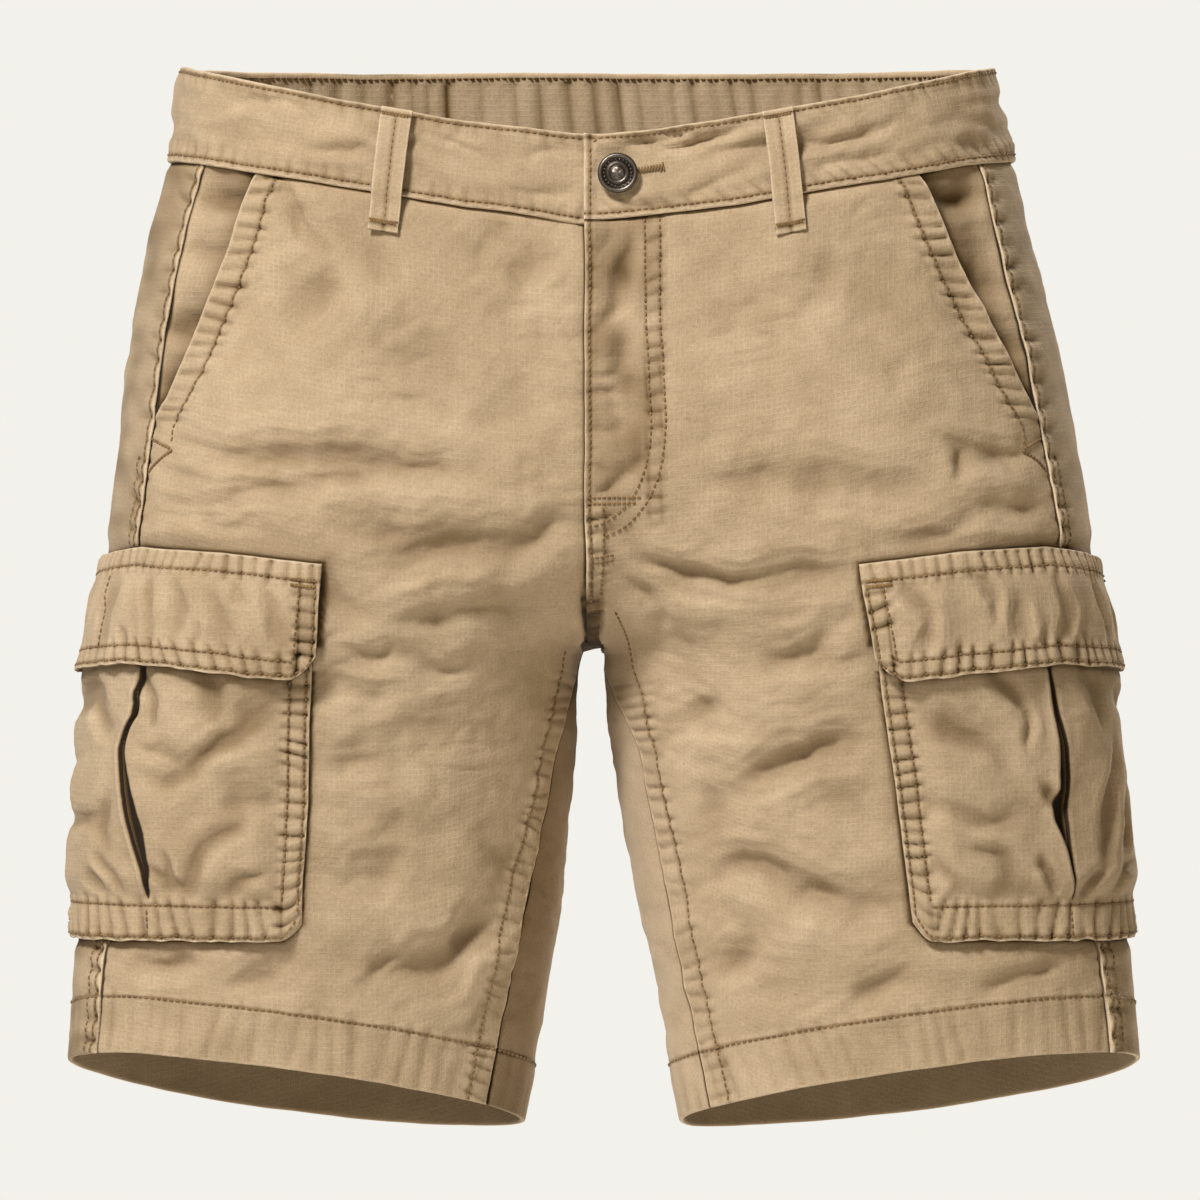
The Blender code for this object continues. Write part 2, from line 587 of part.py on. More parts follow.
def button(finish):
    """A jeans button: a turned head with a rim and a dished face, on a short shank."""
    head, rim = BUTTON_HEAD, BUTTON_RADIUS
    profile = (
        (0.0, head - 0.5), (rim * 0.42, head - 0.45), (rim * 0.50, head - 0.9), (rim * 0.78, head - 0.8),
        (rim * 0.86, head), (rim * 0.97, head - 0.35), (rim, head - 1.1), (rim * 0.93, 0.35),
        (rim * 0.80, 0.0), (BUTTON_SHANK, 0.0), (BUTTON_SHANK, -1.5), (0.0, -1.5),
    )
    mesh = bpy.data.meshes.new("button")
    outline = bmesh.new()
    verts = [outline.verts.new((x * MM, 0.0, z * MM)) for x, z in profile]
    for first, second in zip(verts, verts[1:]):
        outline.edges.new((first, second))
    outline.to_mesh(mesh)
    outline.free()
    obj = new_object("button", mesh, finish)
    turn = obj.modifiers.new("turned", "SCREW")
    turn.steps = turn.render_steps = 28
    turn.use_merge_vertices = True
    turn.merge_threshold = 0.00002
    turn.use_normal_calculate = True
    lower = band_side_point(BUTTON_X, False, 0.0)[0][2] - BUTTON_Z
    place, normal = band_side_point(BUTTON_X, False, lower)
    stand = place + normal * (BAND_PROUD + LAYER_GAP + 1.5)
    obj.location = [c * MM for c in stand]
    z_axis = normal / np.linalg.norm(normal)
    tilt = math.atan2(math.hypot(z_axis[0], z_axis[1]), z_axis[2])
    obj.rotation_euler = (0.0, tilt, math.atan2(z_axis[1], z_axis[0]))


def main():
    for obj in list(bpy.data.objects):
        bpy.data.objects.remove(obj)
    collection = bpy.data.collections.new("cargo_shorts")
    bpy.context.scene.collection.children.link(collection)
    twill = material("cotton_twill", CLOTH_COLOUR, 0.9, 0.0)
    metal = material("antique_metal", METAL_COLOUR, 0.4, 0.9)
    fronts_and_backs(twill)
    pocket_facings(twill)
    cargo_pockets(twill)
    waistband(twill)
    belt_loops(twill)
    button(metal)


main()
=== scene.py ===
"""Cargo shorts in khaki ripstop cotton, filled out and hollow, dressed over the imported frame.

Lengths are in millimetres until a mesh is made. +X is the wearer's left, -Y the front and +Z up. The body is
the one the solids were made from, but for the wearer's left inseam, which lies up to 5 mm off theirs. Each half
is a stack of rings round one leg, and a ring angle is 0 at the inner thigh, 90 at the front, 180 at the outer
side and 270 at the back. Creases and puckers are laid on that smooth body here, along lines of their own: the
solids' sixteen creases follow others.
"""

import math

import bpy
import numpy as np
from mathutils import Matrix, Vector

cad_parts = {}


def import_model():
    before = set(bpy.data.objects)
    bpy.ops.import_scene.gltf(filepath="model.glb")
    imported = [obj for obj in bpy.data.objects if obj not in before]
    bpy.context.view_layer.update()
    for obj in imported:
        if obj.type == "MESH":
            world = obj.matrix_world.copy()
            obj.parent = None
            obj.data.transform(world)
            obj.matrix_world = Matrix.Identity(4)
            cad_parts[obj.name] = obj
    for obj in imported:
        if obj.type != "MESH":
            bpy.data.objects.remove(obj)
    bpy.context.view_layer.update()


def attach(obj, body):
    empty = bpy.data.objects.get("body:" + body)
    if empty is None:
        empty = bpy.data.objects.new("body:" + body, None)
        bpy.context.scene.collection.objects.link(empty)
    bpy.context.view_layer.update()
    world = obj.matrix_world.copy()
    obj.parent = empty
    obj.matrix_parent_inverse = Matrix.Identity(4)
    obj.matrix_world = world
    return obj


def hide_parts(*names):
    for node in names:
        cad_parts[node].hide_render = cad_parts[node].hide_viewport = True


MM = 0.001

# Walls, gaps and laps, as in the solids.
CLOTH = 1.3
HEM_WALL = 2.4
BAND_WALL = 2.6
BAND_HEIGHT = 41.0
BAND_PROUD = 0.8
FACING_WALL = 1.1
FACING_DEPTH = 2.1
SEAM_GAP = 0.45
LAYER_GAP = 0.9
CENTRE_X = -3.0
SIDE_POWER = 2.3
LEFT, RIGHT = 1, -1
FINE = 240

TORSO_COLUMNS = (
    "z_side", "z_front", "z_back", "out_right", "out_left", "centre", "dive", "front", "back", "bow",
)
TORSO = (
    (19.8, -13.7, 20.7, 185.8, 179.8, 0.34, 0.12, 90.0, 91.0, 0.90),
    (-22.0, -51.2, -19.8, 190.5, 188.0, 0.36, 0.12, 93.0, 95.0, 1.05),
    (-62.0, -85.0, -61.0, 200.6, 197.6, 0.38, 0.13, 98.0, 105.0, 1.10),
    (-107.0, -123.0, -107.0, 208.3, 208.4, 0.41, 0.16, 102.0, 115.0, 1.10),
    (-152.0, -161.0, -153.0, 213.7, 217.4, 0.44, 0.24, 104.0, 120.0, 1.10),
    (-191.0, -196.0, -194.0, 218.3, 223.7, 0.47, 0.44, 102.0, 119.0, 1.05),
    (-217.0, -224.0, -223.0, 221.0, 226.7, 0.485, 0.75, 99.0, 113.0, 1.00),
    (-234.0, -243.0, -243.0, 222.3, 228.3, 0.50, 1.00, 95.0, 106.0, 1.00),
)
LEG_COLUMNS = (
    "z_side", "z_in", "out_right", "out_left", "in_right", "in_left", "front", "back", "rake",
    "inseam_right", "inseam_left",
)
LEG = (
    (-263.0, -273.0, 224.3, 230.7, 6.9, 6.2, 88.0, 94.0, 1.5, 18.0, 23.0),
    (-304.0, -315.0, 227.3, 234.4, 9.8, 12.6, 80.0, 82.0, 4.0, 26.0, 28.0),
    (-346.0, -362.0, 230.3, 238.1, 14.5, 21.2, 72.0, 71.0, 6.5, 31.5, 29.0),
    (-389.0, -408.0, 233.4, 242.0, 22.6, 30.8, 65.0, 62.0, 9.0, 33.0, 28.5),
    (-426.0, -454.0, 236.1, 244.8, 31.0, 39.0, 59.0, 56.0, 11.5, 33.5, 30.0),
)
V_BAND_TOP, V_WAIST, V_FORK, V_HEM = 0.0, 1.0, len(TORSO) - 1.0, len(TORSO) + len(LEG) - 1.0
SIDE_SEAM_DEG = 147.0
FORK_LEVELS = (6.8, 6.91, 6.97, 7.0, 7.03, 7.09, 7.2)

SLANT_COLUMNS = ("z", "reach_right", "reach_left")
SLANT = (
    (-22.0, 147.5, 141.0),
    (-62.0, 160.3, 158.0),
    (-106.0, 177.3, 180.0),
    (-130.0, 189.2, 191.8),
    (-150.0, 200.5, 202.6),
)
FACING_UNDER = 15.0

POCKET_FIT_COLUMNS = ("z", "pleat_right", "pleat_left", "half")
POCKET_FIT = (
    (-196.0, 199.0, 199.0, 88.0),
    (-215.0, 199.0, 199.5, 86.0),
    (-250.0, 199.0, 202.0, 82.0),
    (-300.0, 199.0, 206.5, 77.5),
    (-350.0, 199.0, 210.0, 73.5),
    (-371.0, 199.0, 211.0, 72.0),
)
POCKET_TOP, POCKET_BOTTOM = -211.0, -371.0
POCKET_WALL = 1.2
POCKET_RISE = 4.6
POCKET_BORDER = 20.0
POCKET_CORNER = 9.0
FLAP_OVER = 2.5
FLAP_CLEAR = 0.6
FLAP_TOP, FLAP_BOTTOM = -196.0, -247.5
FLAP_DROP = ((-1.0, 6.0), (-0.5, 3.0), (0.0, 0.0), (0.5, 2.5), (1.0, 7.5))
FLAP_WALL = 1.6
FLAP_CORNER = 13.0
FLAP_CORNER_SLOPE = 0.9
FLAP_TOP_BAND = 8.0

LOOP_WIDTH, LOOP_LENGTH, LOOP_WALL = 13.5, 56.0, 1.5
LOOPS = (
    ("belt_loop_front_right", -92.3, False, 6.4),
    ("belt_loop_front_left", 81.1, False, -6.2),
    ("belt_loop_back_right", -112.0, True, 2.0),
    ("belt_loop_back_centre", CENTRE_X, True, 0.0),
    ("belt_loop_back_left", 106.0, True, -2.0),
)
LOOP_RISE = 2.2
LOOP_ROUNDNESS = 0.6

LAP_UNDER = 30.0
LAP_OVER = 3.8
LAP_SLOPE = 34.0
FLY_LAP = 3.6
FLY_LIFT = 1.8
V_FLY_END = 5.75
V_LAP_END = 6.85

BUTTON_X, BUTTON_Z = 7.9, -31.7
BUTTON_HEAD = 2.8

# Sewing.
PUCKER = 2.8
STITCH_PITCH, STITCH_LENGTH, STITCH_RADIUS = 3.0, 2.5, 0.55
TUCK = 1.3
HEM_DEPTH = 25.5
SEAM_LINE, FELL_LINE = 2.2, 7.2
INSEAM_FELL = 11.0
SIDE_LINE, SIDE_FELL = 3.0, 9.2
SLANT_LINE = 9.4
FLY_LINE, FLY_FELL = 2.3, 8.2
POCKET_FELL, POCKET_FOOT = 9.3, 16.2
FLAP_FELL = 8.8
BAND_FOOT_LINE, BAND_END_LINE = 3.2, 2.7

# Main creases of the front: a line of points (X, Z), its depth and its half width. A trough has a low ridge
# on both sides.
CREASE_DEPTH, CREASE_WIDEN = 2.0, 1.38
FRONT_CREASES = (
    # the wearer's right front
    (((-142, -32), (-131, -54), (-121, -68)), 2.2, 4.5),
    (((-113, -48), (-101, -67), (-86, -86)), 2.1, 9.0),
    (((-108, -70), (-122, -82), (-140, -98)), 2.4, 10.0),
    (((-96, -96), (-80, -112), (-52, -124)), 1.5, 14.0),
    (((-197, -148), (-180, -155), (-160, -158), (-138, -155), (-112, -157), (-78, -164), (-54, -162)), 3.0, 6.0),
    (((-198, -162), (-182, -168), (-160, -171), (-128, -168), (-92, -165)), 2.4, 6.0),
    (((-201, -172), (-186, -176), (-163, -175), (-146, -180)), 1.5, 4.0),
    (((-200, -180), (-182, -183), (-160, -188), (-136, -190)), 1.4, 5.0),
    (((-112, -186), (-96, -190), (-78, -191)), 1.6, 6.0),
    (((-120, -199), (-118, -214), (-112, -222), (-98, -225)), 2.0, 6.0),
    (((-114, -243), (-98, -246), (-82, -244)), 2.2, 6.0),
    (((-126, -255), (-106, -260), (-84, -259)), 2.0, 6.0),
    (((-122, -292), (-104, -292), (-84, -289)), 2.4, 7.0),
    (((-8, -186), (-21, -187), (-34, -196), (-58, -196), (-88, -201), (-106, -207)), 3.0, 7.0),
    (((-26, -219), (-42, -224), (-64, -227), (-92, -232)), 2.6, 7.5),
    (((-52, -247), (-70, -250), (-90, -244)), 1.8, 6.0),
    (((-44, -352), (-56, -370), (-74, -384), (-94, -393)), 3.3, 8.0),
    (((-52, -316), (-45, -332), (-38, -348)), 2.4, 6.0),
    (((-207, -380), (-194, -383), (-180, -381)), 2.1, 5.0),
    (((-166, -392), (-150, -386), (-132, -376)), 2.2, 6.0),
    (((-110, -392), (-98, -385), (-84, -378)), 2.1, 6.0),
    (((-100, -316), (-84, -322), (-66, -320)), 1.8, 9.0),
    (((-112, -344), (-96, -338), (-82, -342)), 1.7, 8.0),
    (((-30, -120), (-40, -134), (-56, -144)), 1.0, 10.0),
    (((-34, -52), (-50, -62), (-60, -78)), 1.0, 7.0),
    (((-20, -60), (-32, -74), (-40, -92)), 0.9, 8.0),
    # the wearer's left front
    (((7, -190), (16, -198), (30, -205), (47, -210), (71, -211), (92, -208), (118, -208)), 3.2, 7.0),
    (((5, -202), (12, -210), (20, -218), (30, -236)), 2.2, 5.0),
    (((44, -170), (68, -167), (94, -167), (124, -170), (158, -172)), 2.2, 8.0),
    (((150, -147), (164, -153), (180, -157), (194, -156)), 2.2, 5.0),
    (((157, -152), (160, -158), (158, -166)), 1.6, 4.0),
    (((166, -180), (184, -179), (202, -181)), 1.8, 5.0),
    (((168, -182), (152, -190), (134, -198)), 2.0, 6.0),
    (((112, -224), (100, -235), (88, -244), (72, -246)), 2.2, 7.0),
    (((88, -245), (104, -249), (116, -246)), 1.6, 5.0),
    (((117, -281), (102, -285), (84, -291), (70, -299), (56, -309)), 3.0, 7.0),
    (((54, -262), (44, -270), (32, -280)), 2.0, 6.0),
    (((38, -352), (48, -343), (60, -338), (75, -340), (90, -349), (110, -354), (134, -356)), 2.8, 7.0),
    (((70, -370), (62, -380), (53, -390)), 2.0, 6.0),
    (((110, -398), (124, -392), (140, -384)), 1.8, 6.0),
    (((171, -394), (188, -386), (206, -380)), 1.6, 5.0),
    (((13.4, -57), (11.5, -70), (6.6, -82), (3.7, -95), (-1, -101)), 2.2, 4.2),
    (((-3, -119), (3, -121), (9, -120)), 0.8, 2.2),
    (((-3, -128), (3, -129), (8, -132)), 0.9, 2.4),
    (((14, -104), (11, -116), (12, -128)), 0.9, 3.2),
    (((-3, -143), (4, -146), (12, -143)), 0.7, 2.4),
    (((-3, -160), (4, -163), (9, -168)), 0.9, 2.6),
    (((-3, -173), (5, -170), (12, -165), (19, -154)), 1.5, 2.8),
    (((4, -54), (3, -64), (0, -74)), 0.8, 3.0),
    (((34, -68), (52, -84), (60, -104)), 1.0, 12.0),
    (((150, -60), (160, -88), (176, -112)), 1.3, 5.0),
    (((106, -64), (98, -82), (88, -94)), 1.2, 8.0),
    (((128, -60), (120, -84), (124, -110)), 1.2, 12.0),
    (((94, -306), (112, -312), (122, -322)), 1.4, 7.0),
    (((62, -226), (84, -222), (104, -228)), 1.2, 8.0),
    (((40, -300), (52, -318), (50, -334)), 1.5, 8.0),
)
BACK_CREASES = (
    (((-6, -196), (-30, -206), (-62, -210), (-96, -206), (-128, -210)), 3.2, 8.0),
    (((0, -204), (26, -212), (60, -217), (102, -212)), 3.4, 8.0),
    (((-18, -228), (-44, -240), (-84, -246), (-120, -240)), 2.8, 8.0),
    (((12, -226), (40, -238), (70, -240)), 2.6, 7.0),
    (((-150, -158), (-110, -166), (-74, -162)), 2.0, 9.0),
    (((60, -160), (98, -166), (140, -158), (172, -160)), 2.2, 9.0),
    (((-186, -120), (-150, -132), (-118, -128)), 1.6, 8.0),
    (((120, -118), (150, -128), (186, -122)), 1.6, 8.0),
    (((-52, -300), (-84, -308), (-112, -302)), 2.4, 8.0),
    (((-40, -352), (-70, -362), (-96, -358), (-122, -366)), 2.6, 8.0),
    (((48, -296), (78, -306), (110, -300)), 2.4, 8.0),
    (((56, -366), (88, -352), (122, -360)), 2.6, 8.0),
    (((-70, -392), (-98, -384), (-130, -392)), 1.6, 7.0),
    (((86, -394), (112, -386), (146, -392)), 1.6, 7.0),
    (((-60, -60), (-66, -84), (-56, -104)), 1.3, 10.0),
    (((58, -58), (70, -78), (64, -102)), 1.3, 10.0),
    (((-120, -44), (-132, -66), (-128, -84)), 1.2, 9.0),
    (((8, -70), (14, -100), (8, -130)), 1.2, 9.0),
)
FACING_CREASES = (
    (((-182, -35), (-168, -40), (-152, -41)), 2.8, 5.5),
    (((-199, -93), (-187, -97), (-172, -94), (-166, -102)), 3.4, 7.0),
    (((-186, -62), (-174, -66), (-162, -64)), 1.2, 5.0),
    (((-197, -116), (-190, -122), (-184, -130)), 1.6, 5.0),
    (((146, -36), (160, -40), (176, -38)), 2.6, 5.5),
    (((160, -70), (176, -78), (192, -80)), 2.8, 6.5),
    (((172, -98), (184, -106), (200, -104)), 2.2, 6.0),
    (((184, -124), (194, -130), (204, -128)), 1.8, 5.0),
)
# Creases of the cargo pockets, in the pocket's own sizes: a line of points (distance from the pleat towards
# the front, height over the pocket's bottom edge), its depth and its half width.
POCKET_CREASES = {
    RIGHT: (
        (((5, 122), (9, 109), (7, 96)), 2.6, 4.0),
        (((64, 106), (48, 92), (32, 84), (24, 76), (12, 70)), 3.4, 7.0),
        (((3, 89), (12, 86), (24, 80)), 1.6, 4.5),
        (((21, 20), (25, 31), (33, 42), (47, 55)), 3.2, 4.6),
        (((4, 31), (10, 27), (22, 21)), 2.0, 3.0),
        (((12, 20), (14, 28), (12, 38)), 2.0, 2.8),
        (((40, 19), (46, 26), (58, 30)), 1.6, 4.0),
        (((30, 122), (38, 108), (34, 98)), 1.9, 6.0),
        (((62, 62), (50, 66), (38, 60)), 1.4, 6.0),
        (((-8, 20), (-14, 30), (-24, 38)), 2.4, 3.6),
        (((-20, 20), (-32, 31)), 2.0, 4.0),
        (((-34, 114), (-22, 101), (-12, 92)), 2.0, 6.5),
        (((-13, 68), (-20, 52), (-15, 38)), 1.8, 5.0),
        (((-16, 111), (-36, 108), (-66, 104)), 2.8, 7.0),
        (((-22, 57), (-42, 53), (-68, 50)), 3.0, 6.0),
        (((-44, 82), (-60, 76), (-72, 78)), 1.2, 6.0),
    ),
    LEFT: (
        (((20, 105), (16, 96), (17, 87)), 2.2, 2.8),
        (((36, 126), (26, 112), (20, 104)), 2.2, 5.5),
        (((66, 100), (50, 92), (34, 86), (28, 74)), 1.8, 7.0),
        (((70, 58), (52, 62), (36, 54), (24, 58)), 1.8, 6.0),
        (((12, 70), (8, 64), (4, 56)), 2.2, 2.8),
        (((14, 36), (10, 28), (7, 20)), 2.6, 3.0),
        (((26, 20), (30, 34), (44, 42)), 1.8, 4.5),
        (((48, 20), (56, 30), (64, 38)), 1.4, 4.0),
        (((-20, 36), (-26, 60), (-37, 88)), 3.2, 4.4),
        (((-52, 70), (-42, 52), (-34, 36)), 2.0, 4.5),
        (((-5, 20), (-12, 28), (-20, 33)), 2.4, 3.2),
        (((-26, 20), (-36, 30), (-50, 34)), 1.8, 4.0),
        (((-12, 124), (-24, 110), (-26, 94)), 2.2, 6.0),
        (((-44, 112), (-58, 100), (-62, 84)), 1.8, 6.0),
    ),
}
# Creases of the flaps: a line of points (distance from the pleat towards the front, height over the flap's
# bottom edge), its depth and its half width.
FLAP_CREASES = {
    RIGHT: (
        (((7, 38), (8, 24), (9, 9)), 2.6, 3.2),
        (((24, 40), (25, 28), (22, 14)), 2.0, 4.2),
        (((-15, 36), (-20, 20), (-19, 8)), 2.0, 4.2),
        (((66, 38), (69, 26), (73, 13)), 2.2, 4.0),
        (((42, 34), (46, 20), (42, 10)), 1.6, 4.5),
        (((52, 40), (54, 28)), 1.2, 4.5),
        (((-44, 36), (-46, 16)), 2.0, 5.0),
        (((-68, 36), (-65, 14)), 1.8, 4.5),
        (((30, 9), (34, 16), (33, 22)), 1.4, 2.6),
        (((-4, 9), (-7, 17)), 1.2, 2.4),
    ),
    LEFT: (
        (((72, 40), (60, 26), (64, 12)), 2.4, 3.8),
        (((40, 40), (31, 31), (28, 20)), 1.9, 3.8),
        (((18, 30), (17, 12)), 1.8, 4.2),
        (((-5, 40), (-8, 22), (-2, 9)), 2.2, 4.2),
        (((-30, 38), (-39, 22), (-36, 10)), 2.2, 4.4),
        (((-60, 36), (-62, 14)), 2.0, 4.5),
        (((48, 9), (46, 16)), 1.4, 2.4),
        (((8, 9), (4, 18)), 1.3, 2.4),
        (((-20, 9), (-16, 18)), 1.3, 2.6),
    ),
}
# The pleats' openings: height over the pocket's bottom edge, shift to the front and half width.
PLEAT_LINE = {
    RIGHT: ((22, 3.2, 0.3), (30, 3.4, 1.0), (38, 2.0, 1.7), (48, 0.0, 2.5), (58, -2.0, 2.4), (67, -3.8, 1.8),
            (76, -5.6, 1.2), (85, -6.8, 0.9), (91, -6.2, 0.7), (96, -3.6, 0.7), (100.5, -0.4, 0.9), (105, 1.0, 1.0),
            (111, 1.6, 0.8), (118, 3.6, 0.5), (126, 5.6, 0.35), (138, 6.6, 0.3), (162, 6.8, 0.3)),
    LEFT: ((22, -2.0, 0.4), (32, -0.2, 0.7), (41, 1.0, 1.2), (48, 2.4, 2.4), (55, 4.0, 3.6), (61, 3.8, 3.5),
           (68, 2.4, 3.0), (80, 1.6, 2.8), (91, 2.4, 2.2), (103, 3.6, 1.5), (118, 4.6, 1.0), (134, 5.8, 0.6),
           (162, 7.0, 0.3)),
}

CAMERA_DISTANCE, CAMERA_Z = 4.6, -0.2196
SENSOR, FRAME_WIDTH = 36.0, 0.540
FLOOR_Z, FLOOR_RADIUS = -1.25, 6.0

KHAKI = (0.440, 0.318, 0.190, 1.0)
KHAKI_PALE = (0.72, 0.56, 0.38, 1.0)
KHAKI_DEEP = (0.130, 0.072, 0.020, 1.0)
KHAKI_BLACK = (0.022, 0.012, 0.005, 1.0)
THREAD = (0.150, 0.078, 0.018, 1.0)
BACKGROUND = (0.896, 0.880, 0.831, 1.0)
ROOM_LIGHT, ROOM_STRENGTH = (1.0, 0.79, 0.46, 1.0), 0.17


# ---------------------------------------------------------------- curves and noise


def smoothstep(value):
    value = np.clip(value, 0.0, 1.0)
    return value * value * (3 - 2 * value)


def along_rows(values, v):
    """A smooth curve through one value a row, read at row positions v."""
    values = np.asarray(values, float)
    padded = np.concatenate(([2 * values[0] - values[1]], values, [2 * values[-1] - values[-2]]))
    v = np.clip(np.asarray(v, float), 0, len(values) - 1)
    i = np.minimum(v.astype(int), len(values) - 2)
    t = v - i
    a, b, c, d = (padded[i + k] for k in range(4))
    return b + 0.5 * t * (c - a + t * (2 * a - 5 * b + 4 * c - d + t * (3 * (b - c) + d - a)))


def lattice(cell, seed):
    """A repeatable value from -1 to 1 for each whole-number place."""
    x, y, z = (cell[..., k].astype(np.uint64) for k in range(3))
    mixed = x * np.uint64(374761393) + y * np.uint64(668265263) + z * np.uint64(2246822519)
    mixed = (mixed + np.uint64(seed * 3266489917)) & np.uint64(0xFFFFFFFF)
    for shift in (15, 12, 14):
        mixed = ((mixed ^ (mixed >> np.uint64(shift))) * np.uint64(2654435761)) & np.uint64(0xFFFFFFFF)
    return mixed.astype(float) / 0x7FFFFFFF - 1.0


def noise(point, size, seed):
    """Smooth noise, mostly within -1 to 1, with lumps of about the given size in mm, which may differ by axis."""
    place = np.asarray(point, float) / np.asarray(size, float) + 512.0
    base = np.floor(place)
    t = place - base
    ease = t * t * t * (t * (t * 6 - 15) + 10)
    total = np.zeros(place.shape[:-1])
    for corner in np.ndindex(2, 2, 2):
        offset = np.array(corner, float)
        weight = np.prod(np.where(offset > 0, ease, 1 - ease), axis=-1)
        slopes = np.stack([lattice(base + offset, 3 * seed + k) for k in range(3)], -1)
        total += weight * np.sum(slopes * (t - offset), axis=-1)
    return 1.5 * total


def line_noise(along, size, seed):
    along = np.asarray(along, float)
    return noise(np.stack([along, np.full_like(along, 17.3 * seed), np.full_like(along, 5.1)], -1), size, seed)


def smooth_line(line, steps=5):
    """The same line with points added along a smooth curve through it."""
    line = np.asarray(line, float)
    at = np.linspace(0, len(line) - 1, steps * (len(line) - 1) + 1)
    return np.stack([along_rows(line[:, k], at) for k in range(line.shape[1])], -1)


def line_distance(x, z, line):
    """Distance from each (X, Z) to a line of points, positive on the left of its run, and the share of its
    length where the foot lies."""
    lengths = np.linalg.norm(np.diff(line, axis=0), axis=1)
    best, along, passed = np.full(np.shape(x), np.inf), np.zeros(np.shape(x)), 0.0
    for start, step, length in zip(line[:-1], np.diff(line, axis=0), lengths):
        beside = (step[0] * (z - start[1]) - step[1] * (x - start[0])) / length
        t = np.clip(((x - start[0]) * step[0] + (z - start[1]) * step[1]) / length**2, 0, 1)
        away = np.hypot(x - start[0] - t * step[0], z - start[1] - t * step[1])
        nearer = away < np.abs(best)
        along = np.where(nearer, (passed + t * length) / lengths.sum(), along)
        best = np.where(nearer, np.where(beside < 0, -away, away), best)
        passed += length
    return best, along


def crease_relief(x, z, table, seed, widen=CREASE_WIDEN):
    """Height of the given creases: a soft trough with a sharper bed, a low ridge below it and a few fine
    lines beside it. The lines wander a little, and their depth and width change along them."""
    place = np.stack([x, z, 0 * x + 9.0 * seed], -1)
    x = x + 3.6 * noise(place, 21, seed) + 1.0 * noise(place, 7, seed + 1)
    z = z + 3.6 * noise(place, 21, seed + 2) + 1.0 * noise(place, 7, seed + 3)
    relief = np.zeros(np.shape(x))
    for index, (line, depth, width) in enumerate(table):
        line = smooth_line(line)
        if line[0, 0] > line[-1, 0] + 4:
            line = line[::-1]
        near = (np.abs(x - np.clip(x, line[:, 0].min(), line[:, 0].max())) < 4 * width) & (
            np.abs(z - np.clip(z, line[:, 1].min(), line[:, 1].max())) < 4 * width
        )
        if not near.any():
            continue
        away, along = line_distance(x[near], z[near], line)
        length = np.linalg.norm(np.diff(line, axis=0), axis=1).sum()
        uneven = 1 + 0.6 * line_noise(along * length, 16.0, seed + index)
        wide = widen * width * (0.85 + 0.35 * line_noise(along * length, 21.0, seed + index + 50))
        share = away / wide
        trough = 0.77 * np.exp(-(share**2)) + 0.23 * np.exp(-((share / 0.35) ** 2))
        ridge = 0.2 * np.exp(-(((share + 1.8) / 1.0) ** 2)) + 0.1 * np.exp(-(((share - 2.0) / 1.1) ** 2))
        lines = 0.05 * np.cos(7.5 * share + 2.4 * line_noise(along * length, 30.0, seed + index + 90))
        fade = np.sin(np.pi * np.clip(0.04 + 0.92 * along, 0, 1)) ** 0.8
        relief[near] += CREASE_DEPTH * depth * uneven * fade * (
            ridge - trough + lines * np.exp(-((share / 2.6) ** 2)))
    return relief


# ---------------------------------------------------------------- the body's rings


def side_rows(side):
    """Each quantity of one side as a list with a value for every row, from the waistband to the hem."""
    ending = "_left" if side == LEFT else "_right"
    torso = [dict(zip(TORSO_COLUMNS, row)) for row in TORSO]
    leg = [dict(zip(LEG_COLUMNS, row)) for row in LEG]
    out = [row["out" + ending] for row in torso + leg]
    inner = [0.0] * len(torso) + [row["in" + ending] for row in leg]
    centre = [row["centre"] * row["out" + ending] for row in torso]
    centre += [(row["in" + ending] + row["out" + ending]) / 2 for row in leg]
    dive = [row["dive"] for row in torso]
    dive += [c / (c - i) for c, i in zip(centre[len(torso):], inner[len(torso):])]
    return {
        "z_side": [row["z_side"] for row in torso + leg],
        "z_front": [row["z_front"] for row in torso] + [row["z_in"] for row in leg],
        "z_back": [row["z_back"] for row in torso] + [row["z_in"] for row in leg],
        "front": [row["front"] for row in torso + leg],
        "back": [row["back"] for row in torso + leg],
        "rake": [0.0] * len(torso) + [row["rake"] for row in leg],
        "inseam": [0.0] * len(torso) + [row["inseam" + ending] for row in leg],
        "bow": [row["bow"] for row in torso] + [1.0] * len(leg),
        "out": out,
        "inner": inner,
        "centre": centre,
        "dive": dive,
    }


ROWS = {side: side_rows(side) for side in (LEFT, RIGHT)}


def body_point(side, v, degrees):
    """The smooth body at row position v and ring angle, as points (X, Y, Z)."""
    v, degrees = np.broadcast_arrays(np.asarray(v, float), np.asarray(degrees, float))
    row = {name: along_rows(values, v) for name, values in ROWS[side].items()}
    cos, sin = np.cos(np.radians(degrees)), np.sin(np.radians(degrees))
    inside = cos > 0
    power = np.where(inside, 1.0, 2 / SIDE_POWER)
    reach = np.where(
        inside,
        row["centre"] * (1 - cos / row["dive"]),
        row["centre"] + (row["out"] - row["centre"]) * np.abs(cos) ** power,
    )
    depth = np.where(sin > 0, row["front"], row["back"])
    y = -np.sign(sin) * depth * np.abs(sin) ** power
    inward = np.clip((row["out"] - reach) / (row["out"] - row["inner"]), 0, 1)
    share = (1 - (1 - inward) ** (1.35 - 0.35 * smoothstep(v / V_FORK))) ** row["bow"]
    z_centre = np.where(sin > 0, row["z_front"], row["z_back"])
    z = row["z_side"] + (z_centre - row["z_side"]) * share + row["rake"] * sin
    return np.stack([CENTRE_X + side * (reach + SEAM_GAP / 2), y, z], -1)


